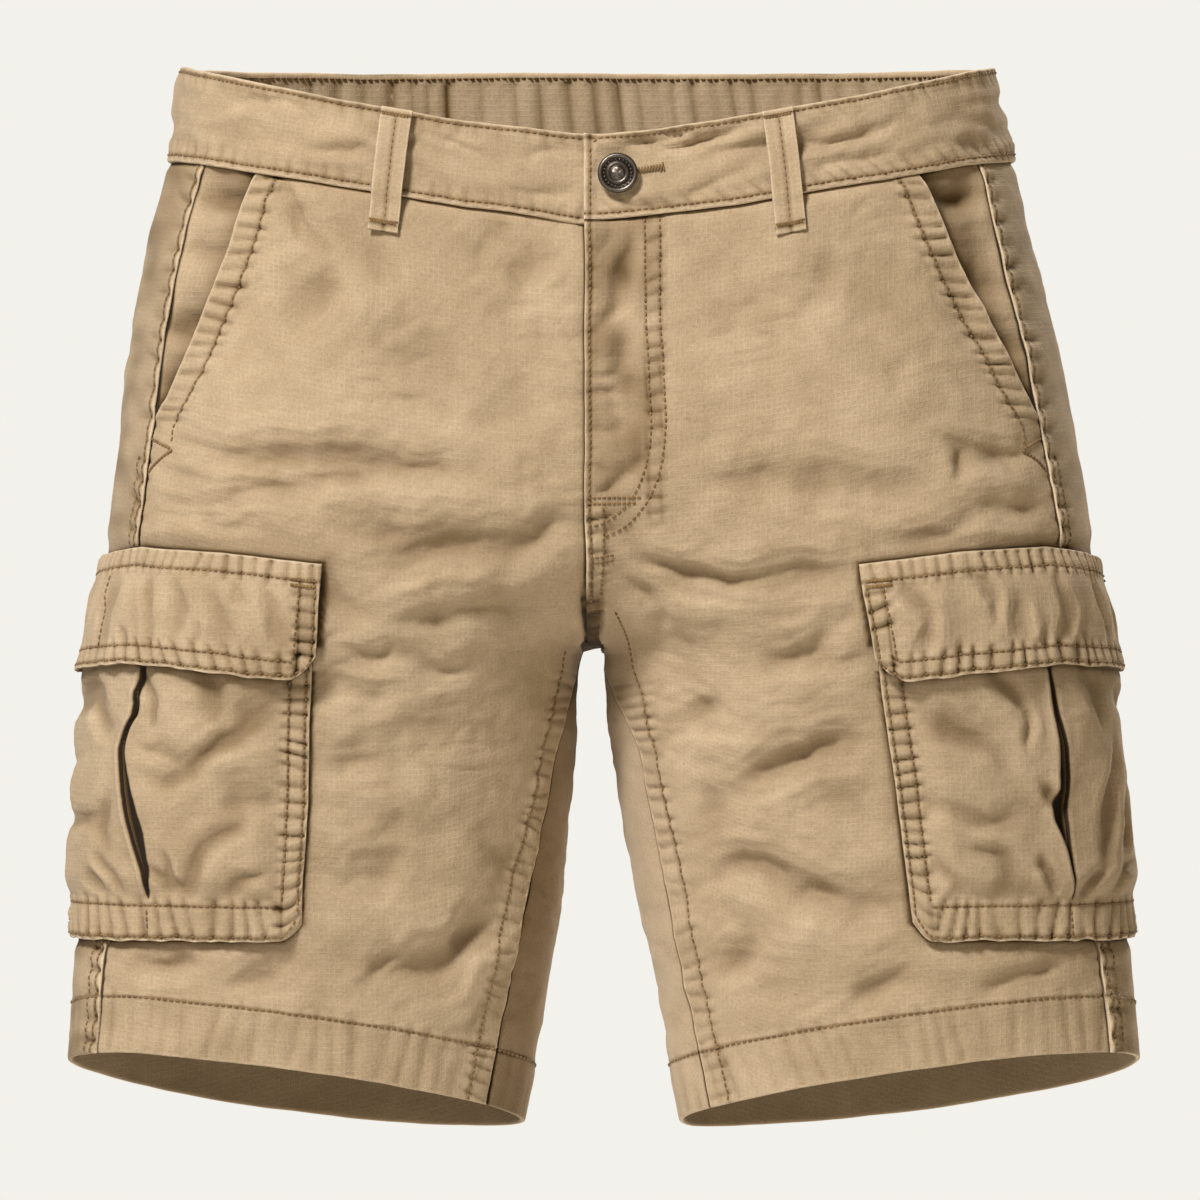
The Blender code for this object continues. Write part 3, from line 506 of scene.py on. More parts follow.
def body_normal(side, v, degrees):
    """The outward normal there."""
    across = body_point(side, v, np.asarray(degrees) + 0.4) - body_point(side, v, np.asarray(degrees) - 0.4)
    down = body_point(side, np.asarray(v) + 0.01, degrees) - body_point(side, np.asarray(v) - 0.01, degrees)
    normal = np.cross(down, across) * side
    return normal / np.linalg.norm(normal, axis=-1, keepdims=True)


def centre_or_inseam(side, v):
    """The ring angle of the front's inner edge: the centre seam above the fork, the inseam below it."""
    dive = np.clip(along_rows(ROWS[side]["dive"], v), 0, 1)
    inseam = np.clip(along_rows(ROWS[side]["inseam"], v), 0, None)
    return np.where(np.asarray(v) <= V_FORK, np.degrees(np.arccos(dive)), inseam)


def slant_edge(side, v):
    """The ring angle of the front's outer edge: the slant of the hand pocket, then the side seam."""
    table = np.array(SLANT)
    slant = table[:, SLANT_COLUMNS.index("reach_left" if side == LEFT else "reach_right")]
    angles = np.linspace(90.0, SIDE_SEAM_DEG, FINE)
    point = body_point(side, v, angles)
    gap = side * (point[:, 0] - CENTRE_X) - np.interp(-point[:, 2], -table[:, 0], slant)
    past = np.nonzero(gap >= 0)[0]
    if not len(past) or past[0] == 0 or point[past[0], 2] <= SLANT[-1][0]:
        return SIDE_SEAM_DEG
    k = past[0]
    return angles[k - 1] + (angles[k] - angles[k - 1]) * gap[k - 1] / (gap[k - 1] - gap[k])


def pocket_fit(side, z):
    """Reach of the pleat from the centre seam and half width of the cargo pocket at height z."""
    table = np.array(POCKET_FIT)
    pleat = table[:, POCKET_FIT_COLUMNS.index("pleat_left" if side == LEFT else "pleat_right")]
    return np.interp(-z, -table[:, 0], pleat), np.interp(-z, -table[:, 0], table[:, -1])


def under_pocket(point):
    """1 where a cargo pocket or its flap lies over the body, fading to 0 round it."""
    side = np.where(point[..., 0] > CENTRE_X, LEFT, RIGHT)
    reach = np.abs(point[..., 0] - CENTRE_X)
    fits = {word: pocket_fit(word, point[..., 2]) for word in (LEFT, RIGHT)}
    pleat = np.where(side == LEFT, fits[LEFT][0], fits[RIGHT][0])
    beside = smoothstep((reach - (pleat - 0.86 * fits[LEFT][1]) + 8) / 8)
    high = smoothstep((FLAP_TOP + 8 - point[..., 2]) / 8)
    low = smoothstep((point[..., 2] - POCKET_BOTTOM + 7) / 7)
    return beside * high * low


# ---------------------------------------------------------------- relief shared by every piece on the body


def wrinkles(point):
    """Soft uneven wrinkles of washed cotton, the same for every piece that passes a place."""
    bent = point + 16 * np.stack([noise(point, 55, seed) for seed in (11, 12, 13)], -1)
    broad = noise(bent, (95, 80, 70), 1)
    crossing = noise(bent, (44, 38, 21), 2)
    ridges = 0.42 - np.abs(noise(bent, (26, 24, 15), 3))
    patchy = smoothstep(0.5 + 1.2 * noise(point, 75, 4))
    crumple = noise(point, (9, 9, 7.5), 5) + 0.6 * noise(point, (5.2, 5.2, 4.6), 6)
    folds = np.clip(1 - 2.6 * np.abs(noise(bent, (34, 30, 13), 7)), 0, 1) ** 2
    folds = folds + np.clip(1 - 2.6 * np.abs(noise(bent, (17, 17, 24), 8)), 0, 1) ** 2
    set_in = smoothstep(0.35 + 1.6 * noise(point, 48, 9))
    return (1.5 * broad + 1.5 * crossing * (0.5 + patchy) + 0.8 * ridges * (0.3 + patchy) + 0.3 * crumple
            + 0.6 * (0.12 - folds) * set_in)


def relief(point, degrees, v):
    """How far creases and wrinkles move the cloth out at a point of the smooth body."""
    sine = np.sin(np.radians(degrees))
    x, z = point[..., 0], point[..., 2]
    before_seam = smoothstep((SIDE_SEAM_DEG + 1 - np.asarray(degrees)) / 13)
    total = smoothstep((sine - 0.15) / 0.35) * before_seam * crease_relief(x, z, FRONT_CREASES, 40)
    total += smoothstep((-sine - 0.15) / 0.35) * crease_relief(x, z, BACK_CREASES, 140)
    total += wrinkles(point)
    below_band = 0.12 + 0.88 * smoothstep((v - V_WAIST) / 0.22)
    in_hem = smoothstep((v - (V_HEM - 0.9)) / 0.35)
    fork = 1 - 0.6 * smoothstep(1 - np.hypot(x - CENTRE_X, (z + 243) * 0.5) / 22)
    flank = np.exp(-(((np.asarray(degrees) - 168) / 24) ** 2))
    return total * below_band * (1 - 0.45 * in_hem) * fork * (1 - 0.6 * flank)


# How far each thigh is pressed outwards beside the fork, by height.
PARTED = {
    LEFT: ((-284.0, 0.0), (-264.0, 0.9), (-250.5, 1.5), (-243.5, 4.2), (-240.0, 3.6), (-236.5, 0.0)),
    RIGHT: ((-290.0, 0.0), (-277.0, 0.5), (-264.0, 2.2), (-250.5, 3.1), (-243.5, 4.2), (-240.0, 3.6), (-236.5, 0.0)),
}


def settle(point):
    """A slight unevenness of every edge and line, the same for every piece that passes a place."""
    slow = np.stack([noise(point, 42, seed) for seed in (21, 22, 23)], -1)
    quick = np.stack([noise(point, 13, seed) for seed in (24, 25, 26)], -1)
    settled = point + 0.7 * slow + 0.22 * quick
    away = np.abs(point[..., 0] - CENTRE_X)
    beside = 1 - smoothstep(away / 22)
    for side in (LEFT, RIGHT):
        own = (point[..., 0] > CENTRE_X) if side == LEFT else (point[..., 0] <= CENTRE_X)
        settled[..., 0] += side * own * beside * np.interp(point[..., 2], *zip(*PARTED[side]))
    return settled


# ---------------------------------------------------------------- sheets of cloth

EDGE_STEPS = (0.0, 0.12, 0.32, 0.62, 1.0, 1.5, 2.15, 2.9, 3.8, 5.0)


def spread(length, count, start=EDGE_STEPS, end=EDGE_STEPS):
    """Distances from 0 to length, close together at both edges and even between them."""
    middle = np.linspace(start[-1], length - end[-1], count)
    return np.concatenate((start[:-1], middle, length - np.array(end[-2::-1])))


def run_length(points):
    """Length along a line of points up to each of them."""
    return np.concatenate(([0.0], np.cumsum(np.linalg.norm(np.diff(points, axis=0), axis=1))))


class Sheet:
    """A grid of places on a piece of cloth, with what is known at each: how far its outer face stands out,
    its wall, its pale fading and painted highlight, its painted shade, and how near a cut or folded edge."""

    def __init__(self, name, place, normal, wall, grain, edge):
        shape = place.shape[:2]
        self.name, self.place, self.normal, self.grain = name, place, normal, grain
        self.wall = np.array(np.broadcast_to(np.asarray(wall, float), shape))
        self.edge = np.broadcast_to(edge, shape)
        self.rise = np.zeros(shape)
        # Pale fading and painted highlight, then painted shade.
        self.wear_and_highlight = np.zeros(shape)
        self.dark = np.zeros(shape)
        self.shift = np.zeros(place.shape)
        # Painted shade for the inner face alone, and 1 where the inner face is painted darker as an inside.
        self.under, self.under_dark, self.inside = np.zeros(shape), np.zeros(shape), 1.0
        self.faces = None

    def face(self, inner=False):
        """The outer or the inner face, rounded over at the edges."""
        half = self.wall / 2
        rounding = np.sqrt(np.clip(1 - (1 - np.clip(self.edge / (0.6 * half), 0, 1)) ** 2, 0, 1))
        out = self.rise - half + half * rounding * (-1 if inner else 1)
        if inner:
            out = out + self.under * rounding
        return settle(self.place) + self.shift + self.normal * out[..., None]

    def sew(self, away, along, lines, band, lift=0.0, pucker=0.3, period=8.0, seed=1, span=1.0, wear_and_highlight=1.0,
            fade=4.0):
        """A stitched edge. away is the distance from the folded edge, along the length beside it, lines the
        distances of the stitch lines and band the width that is doubled."""
        inside = smoothstep((away + 0.5) / 0.5)
        doubled = inside * (1 - smoothstep((away - band) / 1.5))
        self.rise += span * lift * doubled
        lean = 0.1 + 0.45 * line_noise(along, 3.1 * period, seed + 5)
        phase = (along + lean * away) / period + 0.5 * line_noise(along, 2.7 * period, seed)
        trough = (1 - np.abs(np.sin(math.pi * phase))) ** 2.0
        strength = np.clip(0.85 + 0.8 * line_noise(along, 1.2 * period, seed + 7), 0.3, 1.5)
        window = smoothstep((away - 0.2) / 1.2) * (1 - smoothstep((away - band - 0.2) / fade))
        swell = 0.35 * (0.5 - 0.5 * np.cos(2 * math.pi * phase))
        self.rise += span * PUCKER * pucker * strength * window * (swell - trough)
        # Painted shade in the pucker troughs.
        self.dark += span * 1.9 * pucker * strength * trough * window
        for line in lines:
            groove = np.exp(-(((away - line) / 0.8) ** 2))
            self.rise -= span * 0.36 * groove
            # Painted shade in the stitch groove.
            self.dark += span * 0.95 * groove
        # Pale fading and painted highlight along the folded rim, and painted highlight where a wide doubled band steps
        # down.
        rim = np.exp(-((np.clip(away, 0, None) / 0.9) ** 2)) * inside
        step = np.exp(-(((away - band - 0.2) / 0.8) ** 2))
        pale_wear_and_highlight = 1.25 * rim + 0.35 * (step if band > 4 else 0)
        self.wear_and_highlight += span * wear_and_highlight * pale_wear_and_highlight * (0.8 + 0.3 * line_noise(along, 5.0, seed + 3))

    def shade_relief(self):
        """Painted shade in troughs and painted highlight on ridges, by how far the cloth stands in or out."""
        self.dark += 0.12 * np.clip(-self.rise - 0.3, 0, 5)
        self.wear_and_highlight += 0.05 * np.clip(self.rise - 0.4, 0, 4)

    def shade_own(self, own):
        # Painted shade in the piece's own troughs and painted highlight on its ridges.
        self.dark += 0.16 * np.clip(-own - 0.3, 0, 5)
        self.wear_and_highlight += 0.06 * np.clip(own - 0.3, 0, 4)

    def tuck_under(self, away, depth=1.5, reach=2.2, span=1.0):
        """An edge that dips under its neighbour."""
        under = 1 - smoothstep((away + TUCK - 0.3) / reach)
        self.rise -= span * depth * under
        # Painted shade along the edge where it goes under.
        self.dark += span * 2.2 * (1 - smoothstep((away - 0.2) / 1.1))

    def at(self, rows, columns):
        """Points on the outer face and normals at fractional rows and columns."""
        if self.faces is None:
            self.faces = self.face()
        rows, columns = np.broadcast_arrays(np.asarray(rows, float), np.asarray(columns, float))
        point = bilinear(self.faces, rows, columns)
        normal = bilinear(self.normal, rows, columns)
        normal /= np.linalg.norm(normal, axis=-1, keepdims=True)
        return point, normal

    def behind(self, rows, columns):
        """Points on the inner face, with normals that point inwards."""
        rows, columns = np.broadcast_arrays(np.asarray(rows, float), np.asarray(columns, float))
        normal = bilinear(self.normal, rows, columns)
        return bilinear(self.face(inner=True), rows, columns), -normal

    def build(self, finish):
        """The cloth as a closed shell. Its inner face has every other row and column and shares the rim."""
        outer, inner = self.face(), self.face(inner=True)
        self.faces = outer
        rows, columns = self.rise.shape
        grid = np.arange(rows * columns).reshape(rows, columns)
        quads = np.stack([grid[:-1, :-1], grid[1:, :-1], grid[1:, 1:], grid[:-1, 1:]], -1).reshape(-1, 4)
        kept_rows, kept_columns = every_other(rows), every_other(columns)
        inside = np.ix_(kept_rows[1:-1], kept_columns[1:-1])
        under = grid[np.ix_(kept_rows, kept_columns)].copy()
        under[1:-1, 1:-1] = rows * columns + np.arange(under[1:-1, 1:-1].size).reshape(under[1:-1, 1:-1].shape)
        faces = quads.tolist()
        last_row, last_column = len(kept_rows) - 2, len(kept_columns) - 2
        for r, (top, bottom) in enumerate(zip(kept_rows[:-1], kept_rows[1:])):
            for c, (left, right) in enumerate(zip(kept_columns[:-1], kept_columns[1:])):
                face = [under[r, c], under[r, c + 1], under[r + 1, c + 1], under[r + 1, c]]
                if r in (0, last_row) or c in (0, last_column):
                    skipped = (
                        grid[top, left + 1:right] if r == 0 else (),
                        grid[top + 1:bottom, right] if c == last_column else (),
                        grid[bottom, right - 1:left:-1] if r == last_row else (),
                        grid[bottom - 1:top:-1, left] if c == 0 else (),
                    )
                    face = [int(i) for corner, extra in zip(face, skipped) for i in (corner, *extra)]
                faces.append([int(i) for i in face])
        middle = rows // 2, columns // 2
        across = outer[middle[0], middle[1] + 1] - outer[middle]
        down = outer[middle[0] + 1, middle[1]] - outer[middle]
        if np.dot(np.cross(down, across), self.normal[middle]) < 0:
            faces = [face[::-1] for face in faces]
        mesh = bpy.data.meshes.new(self.name)
        mesh.from_pydata(np.concatenate([outer.reshape(-1, 3), inner[inside].reshape(-1, 3)]) * MM, [], faces)
        count = inner[inside].shape[0] * inner[inside].shape[1]
        # The inner face takes a share of the outer face's fading, painted highlight and painted shade, and painted
        # shade of its own.
        for name, values in (("wear_and_highlight", self.wear_and_highlight), ("dark", self.dark)):
            behind = values[inside] * (0.3 + 0.7 * smoothstep((values[inside] - 2.0) / 1.5))
            if name == "dark":
                behind = behind + self.under_dark[inside]
            give_values(mesh, name, np.concatenate([values.ravel(), behind.ravel()]))
        give_values(mesh, "inside", np.repeat([0.0, self.inside], [rows * columns, count]))
        flat = np.concatenate([self.grain.reshape(-1, 2), self.grain[inside].reshape(-1, 2)]) * MM
        corners = np.empty(len(mesh.loops), dtype=np.int32)
        mesh.loops.foreach_get("vertex_index", corners)
        mesh.uv_layers.new(name="grain").data.foreach_set("uv", flat[corners].ravel())
        return add_object(self.name, mesh, finish)


def every_other(count):
    kept = list(range(0, count, 2))
    return np.array(kept if kept[-1] == count - 1 else kept + [count - 1])


def bilinear(grid, rows, columns):
    rows = np.clip(rows, 0, grid.shape[0] - 1.000001)
    columns = np.clip(columns, 0, grid.shape[1] - 1.000001)
    r, c = rows.astype(int), columns.astype(int)
    fr, fc = (rows - r)[..., None], (columns - c)[..., None]
    top = grid[r, c] * (1 - fc) + grid[r, c + 1] * fc
    return top * (1 - fr) + (grid[r + 1, c] * (1 - fc) + grid[r + 1, c + 1] * fc) * fr


def give_values(mesh, name, values):
    mesh.attributes.new(name, "FLOAT", "POINT").data.foreach_set("value", np.asarray(values, np.float32))


def add_object(name, mesh, finish):
    mesh.update()
    mesh.materials.append(finish)
    mesh.shade_smooth()
    obj = bpy.data.objects.new(name, mesh)
    bpy.context.scene.collection.objects.link(obj)
    return obj


# ---------------------------------------------------------------- stitches


class Thread:
    """All the stitches of one piece, joined into one mesh."""

    def __init__(self, name):
        self.name, self.points, self.faces, self.count = name, [], [], 0

    def run(self, points, normals, pitch=STITCH_PITCH, length=STITCH_LENGTH, radius=STITCH_RADIUS, start=0.0):
        """Stitches one after another along a line of points on the cloth."""
        total = run_length(points)
        middles = np.arange(start + pitch / 2, total[-1] - length / 2, pitch)
        if not len(middles):
            return
        shares = np.array([-1.0, -0.55, 0.55, 1.0])
        at = middles[:, None] + shares[None, :] * length / 2
        place = np.stack([np.interp(at, total, points[:, k]) for k in range(3)], -1)
        normal = np.stack([np.interp(at, total, normals[:, k]) for k in range(3)], -1)
        normal /= np.linalg.norm(normal, axis=-1, keepdims=True)
        self.tubes(place, normal, radius * np.array([0.35, 1.0, 1.0, 0.35]), np.array([-0.4, 0.12, 0.12, -0.4]))

    def tubes(self, place, normal, radii, lifts, sides=5):
        """Many short tubes at once, each through a row of places."""
        tangent = np.gradient(place, axis=1)
        tangent /= np.linalg.norm(tangent, axis=-1, keepdims=True)
        beside = np.cross(tangent, normal)
        beside /= np.linalg.norm(beside, axis=-1, keepdims=True)
        turn = np.linspace(0, 2 * math.pi, sides, endpoint=False)
        ring = np.cos(turn)[:, None] * beside[..., None, :] + np.sin(turn)[:, None] * normal[..., None, :]
        centre = place + normal * lifts[None, :, None]
        points = centre[..., None, :] + ring * radii[None, :, None, None]
        tubes, rings = place.shape[:2]
        index = self.count + np.arange(tubes * rings * sides).reshape(tubes, rings, sides)
        turned = np.roll(index, -1, axis=2)
        self.faces += np.stack(
            [index[:, :-1], index[:, 1:], turned[:, 1:], turned[:, :-1]], -1
        ).reshape(-1, 4).tolist()
        self.faces += index[:, 0].tolist() + index[:, -1, ::-1].tolist()
        self.points.append(points.reshape(-1, 3))
        self.count += tubes * rings * sides

    def build(self, finish):
        mesh = bpy.data.meshes.new(self.name)
        mesh.from_pydata(np.concatenate(self.points) * MM, [], self.faces)
        return add_object(self.name, mesh, finish)


def column_at(distances, wanted):
    """For each row of a grid of rising distances, the fractional column where the wanted distance falls."""
    count = distances.shape[1]
    wanted = np.broadcast_to(wanted, (distances.shape[0],))
    return np.array([np.interp(w, row, np.arange(count)) for w, row in zip(wanted, distances)])


def row_at(distances, wanted):
    return column_at(distances.T, wanted)


# ---------------------------------------------------------------- fronts and backs


def panel_levels(step):
    """Row positions from under the waistband to the hem, close together at the hem and the fork."""
    v = np.linspace(V_WAIST, V_HEM, 1200)
    down = run_length(body_point(LEFT, v, 105.0))
    count = int(down[-1] / step)
    at = spread(down[-1], count, start=(-2.5, -1.2, 0.0, 1.2), end=EDGE_STEPS)
    levels = np.interp(at, down, v)
    levels[at < 0] = V_WAIST + at[at < 0] / 40.0
    levels = levels[np.min(np.abs(levels[:, None] - np.array(FORK_LEVELS)), axis=1) > 0.012]
    return np.sort(np.concatenate((levels, FORK_LEVELS)))


def lay_ring(side, v, start, end, distances):
    """Sides and angles at distances from a panel's inner edge. Above the fork a distance below 0 lies on the
    other half of the body, and elsewhere the ring runs on past the panel."""
    turn = 1 if end > start else -1
    extra = 5.0
    angles = np.linspace(start - turn * extra, end + turn * extra, FINE)
    length = run_length(body_point(side, v, angles))
    length -= np.interp(extra, np.abs(angles - angles[0]), length)
    found = np.interp(distances, length, angles)
    sides = np.full(len(distances), side)
    if v <= V_FORK:
        beyond = np.linspace(start, start + turn * 60, FINE)
        other = run_length(body_point(-side, v, beyond))
        found = np.where(distances < 0, np.interp(-distances, other, beyond), found)
        sides = np.where(distances < 0, -side, side)
    return sides, found


def ring_span(side, v, start, end):
    return run_length(body_point(side, v, np.linspace(start, end, FINE)))[-1]


# Where the inseam's stitching passes the fork: reach from the centre seam and height.
FORK_STITCHES = {
    LEFT: ((7.5, -218.7), (11.9, -227.6), (15.5, -237.4), (18.1, -247.6), (20.1, -255.6), (23.0, -264.1),
           (24.4, -271.7), (26.9, -281.9), (28.8, -290.8), (30.5, -299.7), (33.0, -312.2)),
    RIGHT: ((8.1, -237.4), (12.6, -246.3), (14.8, -255.6), (16.8, -264.1), (19.3, -271.7), (21.9, -281.9),
            (24.7, -299.7)),
}
# Heights of painted shadow lines of small folds in the hollow between the thighs.
FORK_FOLDS = (-212.5, -219.0, -225.5, -233.0, -239.5)


class Panel:
    """A front or a back: where each point of its grid lies, and its distances from its edges."""

    def __init__(self, side, at_back, step, columns, legs):
        self.side, self.at_back, self.legs = side, at_back, legs
        self.levels = panel_levels(step)
        word = "left" if side == LEFT else "right"
        self.name = ("back_" if at_back else "front_") + word
        rows = len(self.levels)
        middle = 270.0 if at_back else 90.0
        self.slant = np.zeros(rows)
        cuts, spans, middles, passed, distances = [], [], [], [], []
        for index, v in enumerate(self.levels):
            cut = float(centre_or_inseam(side, v))
            if at_back:
                start, end = (360 - cut if v <= V_FORK else 360 + cut), SIDE_SEAM_DEG
                past_outer = 0.0
            else:
                start, end = cut, float(slant_edge(side, v))
                self.slant[index] = smoothstep((SIDE_SEAM_DEG - end) / 1.5)
                past_outer = TUCK * (1 - smoothstep((SIDE_SEAM_DEG - end) / 4.0))
            past_inner = self.past_inner(v)
            span = ring_span(side, v, start, end)
            cuts.append((start, end))
            spans.append(span)
            middles.append(ring_span(side, v, start, middle))
            passed.append(past_inner)
            distances.append(spread(span + past_outer + past_inner, columns) - past_inner)
        spans, distances = np.array(spans)[:, None], np.array(distances)
        self.run_straight(distances, spans, np.array(middles)[:, None])
        laid = [lay_ring(side, v, *cut, line) for v, cut, line in zip(self.levels, cuts, distances)]
        sides, angles = zip(*laid)
        lapped = np.array([past * self.laps_over(v) for past, v in zip(passed, self.levels)])
        self.sides, self.angles = np.array(sides), np.array(angles)
        self.v = np.repeat(self.levels[:, None], self.angles.shape[1], axis=1)
        self.from_inner, self.from_outer, self.reach = distances + lapped[:, None], spans - distances, distances
        lower = np.clip((self.v - V_WAIST) / 3.0, 0, 1)
        self.from_slant = self.from_outer * SLANT_LINE / (10.8 + 3.0 * lower)
        own = self.sides == side
        self.place = np.where(
            own[..., None], body_point(side, self.v, self.angles), body_point(-side, self.v, self.angles)
        )
        self.normal = np.where(
            own[..., None], body_normal(side, self.v, self.angles), body_normal(-side, self.v, self.angles)
        )
        by_fork = smoothstep((0.5 - np.abs(self.levels - V_FORK)) / 0.3)[1:-1, None, None]
        for _ in range(12):
            even = 0.25 * self.normal[:-2] + 0.5 * self.normal[1:-1] + 0.25 * self.normal[2:]
            self.normal[1:-1] += by_fork * (even - self.normal[1:-1])
        self.normal /= np.linalg.norm(self.normal, axis=-1, keepdims=True)
        if not at_back:
            self.from_fell = self.reach * INSEAM_FELL / self.fell_reach()[:, None]

    def run_straight(self, distances, spans, middles):
        """Columns run straight on past the fork, where the inner edge dives between the legs."""
        from_middle = distances - middles
        first, last = (int(np.argmin(np.abs(self.levels - V_FORK - away))) for away in (-0.5, 0.5))
        near = slice(first, last + 1)
        share = ((self.levels[near] - self.levels[first]) / (self.levels[last] - self.levels[first]))[:, None]
        straight = from_middle[first] * (1 - share) + from_middle[last] * share
        hold = smoothstep((distances[near] - 4) / 36) * smoothstep((spans[near] - distances[near]) / 30)
        distances[near] += hold * (straight - from_middle[near])

    def fell_reach(self):
        """Distance of the inseam's stitching from the inner edge, row by row."""
        path = np.array(FORK_STITCHES[self.side])
        z = self.place[:, 12, 2]
        wanted = np.interp(-z, -path[:, 1], path[:, 0])
        out = self.side * (self.place[..., 0] - CENTRE_X)
        found = np.array([np.interp(*row) for row in zip(wanted, out, self.reach)])
        return INSEAM_FELL + (np.clip(found, 4.0, None) - INSEAM_FELL) * smoothstep((z - path[-1, 1]) / 20)

    def laps_over(self, v):
        """The left pieces lap over the right ones at the centre, and the fronts over the backs at the inseam."""
        return (self.side == LEFT) if v <= V_FORK else not self.at_back

    def past_inner(self, v):
        """How far the piece runs on past the seam line at its inner edge."""
        if v > V_FORK:
            return 0.0 if not self.at_back else TUCK * float(smoothstep((v - V_FORK) / 0.2))
        if self.at_back:
            return TUCK * float(smoothstep((V_FORK - v) / 0.2)) if self.side == RIGHT else 0.0
        if self.side == RIGHT:
            return TUCK * float(smoothstep((v - V_LAP_END + 0.3) / 0.2) * smoothstep((V_FORK - v) / 0.1))
        return FLY_LAP * float(smoothstep((V_LAP_END - v) / 0.3))

    def sheet(self):
        tucked = TUCK * (1 - self.slant[:, None]) * (not self.at_back)
        outer_edge = np.minimum(np.clip(self.from_outer + tucked, 0, None), self.reach - self.reach[:, :1])
        down = np.stack([run_length(column) for column in self.place.swapaxes(0, 1)], -1)
        self.from_hem = down[-1:] - down
        self.from_band = down - np.array([np.interp(V_WAIST, self.levels, line) for line in down.T])[None, :]
        edge = np.minimum(outer_edge, self.from_hem)
        hem = smoothstep((HEM_DEPTH + 0.8 - self.from_hem) / 1.6)
        wall = CLOTH + (HEM_WALL - CLOTH) * hem
        middle = 270.0 if self.at_back else 90.0
        order = 1 if self.angles[0, -1] > self.angles[0, 0] else -1
        at_middle = [np.interp(middle * order, line * order, reach) for line, reach in zip(self.angles, self.reach)]
        at_x = [np.interp(middle * order, line * order, place) for line, place in zip(self.angles, self.place[..., 0])]
        across = self.reach - np.array(at_middle)[:, None] + self.side * np.array(at_x)[:, None]
        grain = np.stack([across, down], -1)
        sheet = Sheet(self.name, self.place, self.normal, wall, grain, edge)
        covered = under_pocket(self.place)
        sheet.rise = relief(self.place, self.angles, self.v) * (1 - 0.5 * covered) - 1.4 * covered
        sheet.shade_relief()
        sheet.rise -= 1.7 * (1 - smoothstep((self.from_band + 1.0) / 7.0))
        if self.side == RIGHT and not self.at_back:
            sunk = (BAND_WALL + LAYER_GAP) * (1 - smoothstep((self.reach - LAP_OVER) / LAP_SLOPE))
            sheet.rise -= sunk * (1 - smoothstep((self.from_band - 2.0) / 16.0))
        # Painted shadow in a line just under the waistband.
        sheet.dark += 2.0 * (1 - smoothstep((self.from_band - 0.5) / 1.4))
        # Painted shadow beside the cargo pockets and flaps.
        sheet.dark += self.legs.contact(self.place, self.angles)
        # Painted shade on the flanks, patchy, stronger on the wearer's right.
        flank = np.exp(-(((self.angles - 168) / 20) ** 2))
        sheet.dark += flank * np.clip((0.42 if self.side == RIGHT else 0.15)
                                      + 0.85 * noise(self.place, (30, 30, 11), 98), 0, 1.1)
        # Painted shade, a little darker towards the top.
        sheet.dark += 0.09 * smoothstep((self.place[..., 2] + 150) / 60)
        self.sink_fork(sheet)
        self.sew_all(sheet)
        if not self.at_back:
            self.brown_fork(sheet)
        if self.at_back:
            low = smoothstep((self.v - V_HEM + 1.6) / 1.6) * np.clip(np.sin(np.radians(self.angles - 160)), 0, 1)
            low = low * smoothstep((self.angles - 150) / 30) * smoothstep((330 - self.angles) / 60)
            sheet.shift[..., 2] -= 1.3 * low
        return sheet

    def sink_fork(self, sheet):
        """The seam lies in a hollow between the thighs."""
        deep = smoothstep((self.v - 5.7) / 0.4) * (1 - smoothstep((self.v - 6.72) / 0.26))
        if self.at_back:
            near = np.exp(-((self.reach / 6.0) ** 2))
            sheet.rise -= 2.5 * near * deep
            return
        near = 1 - smoothstep((np.abs(self.reach) - 5.4) / 2.2)
        beside = np.exp(-(((self.reach - 8.8) / 3.0) ** 2))
        sheet.rise += (0.9 * beside - 1.6 * near) * deep

    def brown_fork(self, sheet):
        """Painted shade in the hollow between the thighs: a warm brown, not black."""
        z = self.place[..., 2]
        near = (1 - smoothstep((self.reach - 5.0) / 0.9)) * smoothstep((self.v - 5.4) / 0.4)
        near = near * (1 - smoothstep((self.v - V_FORK) / 0.06))
        # Uneven painted shade of folds, and painted shadow lines at the fold heights above.
        fold = noise(self.place * np.array([1.0, 0.4, 1.0]), (7, 30, 6), 97)
        bars = sum(np.exp(-(((z - height - 0.25 * self.side * self.reach) / 0.8) ** 2)) for height in FORK_FOLDS)
        brown = np.clip(0.35 + 1.15 * smoothstep((-202 - z) / 28) + 0.45 * fold + 0.55 * bars, 0, 2.0)
        sheet.dark += near * (brown - sheet.dark)
        # Less pale fading and painted highlight deep in the hollow.
        sheet.wear_and_highlight *= 1 - 0.8 * near * smoothstep((-205 - z) / 12)
        # Painted highlight in a line near the left front's inner edge above the fork.
        if self.side == LEFT:
            rim = np.exp(-(((self.reach - 6.6) / 0.8) ** 2)) * smoothstep((self.v - 5.8) / 0.3)
            sheet.wear_and_highlight += 0.9 * rim * (self.v <= V_FORK)

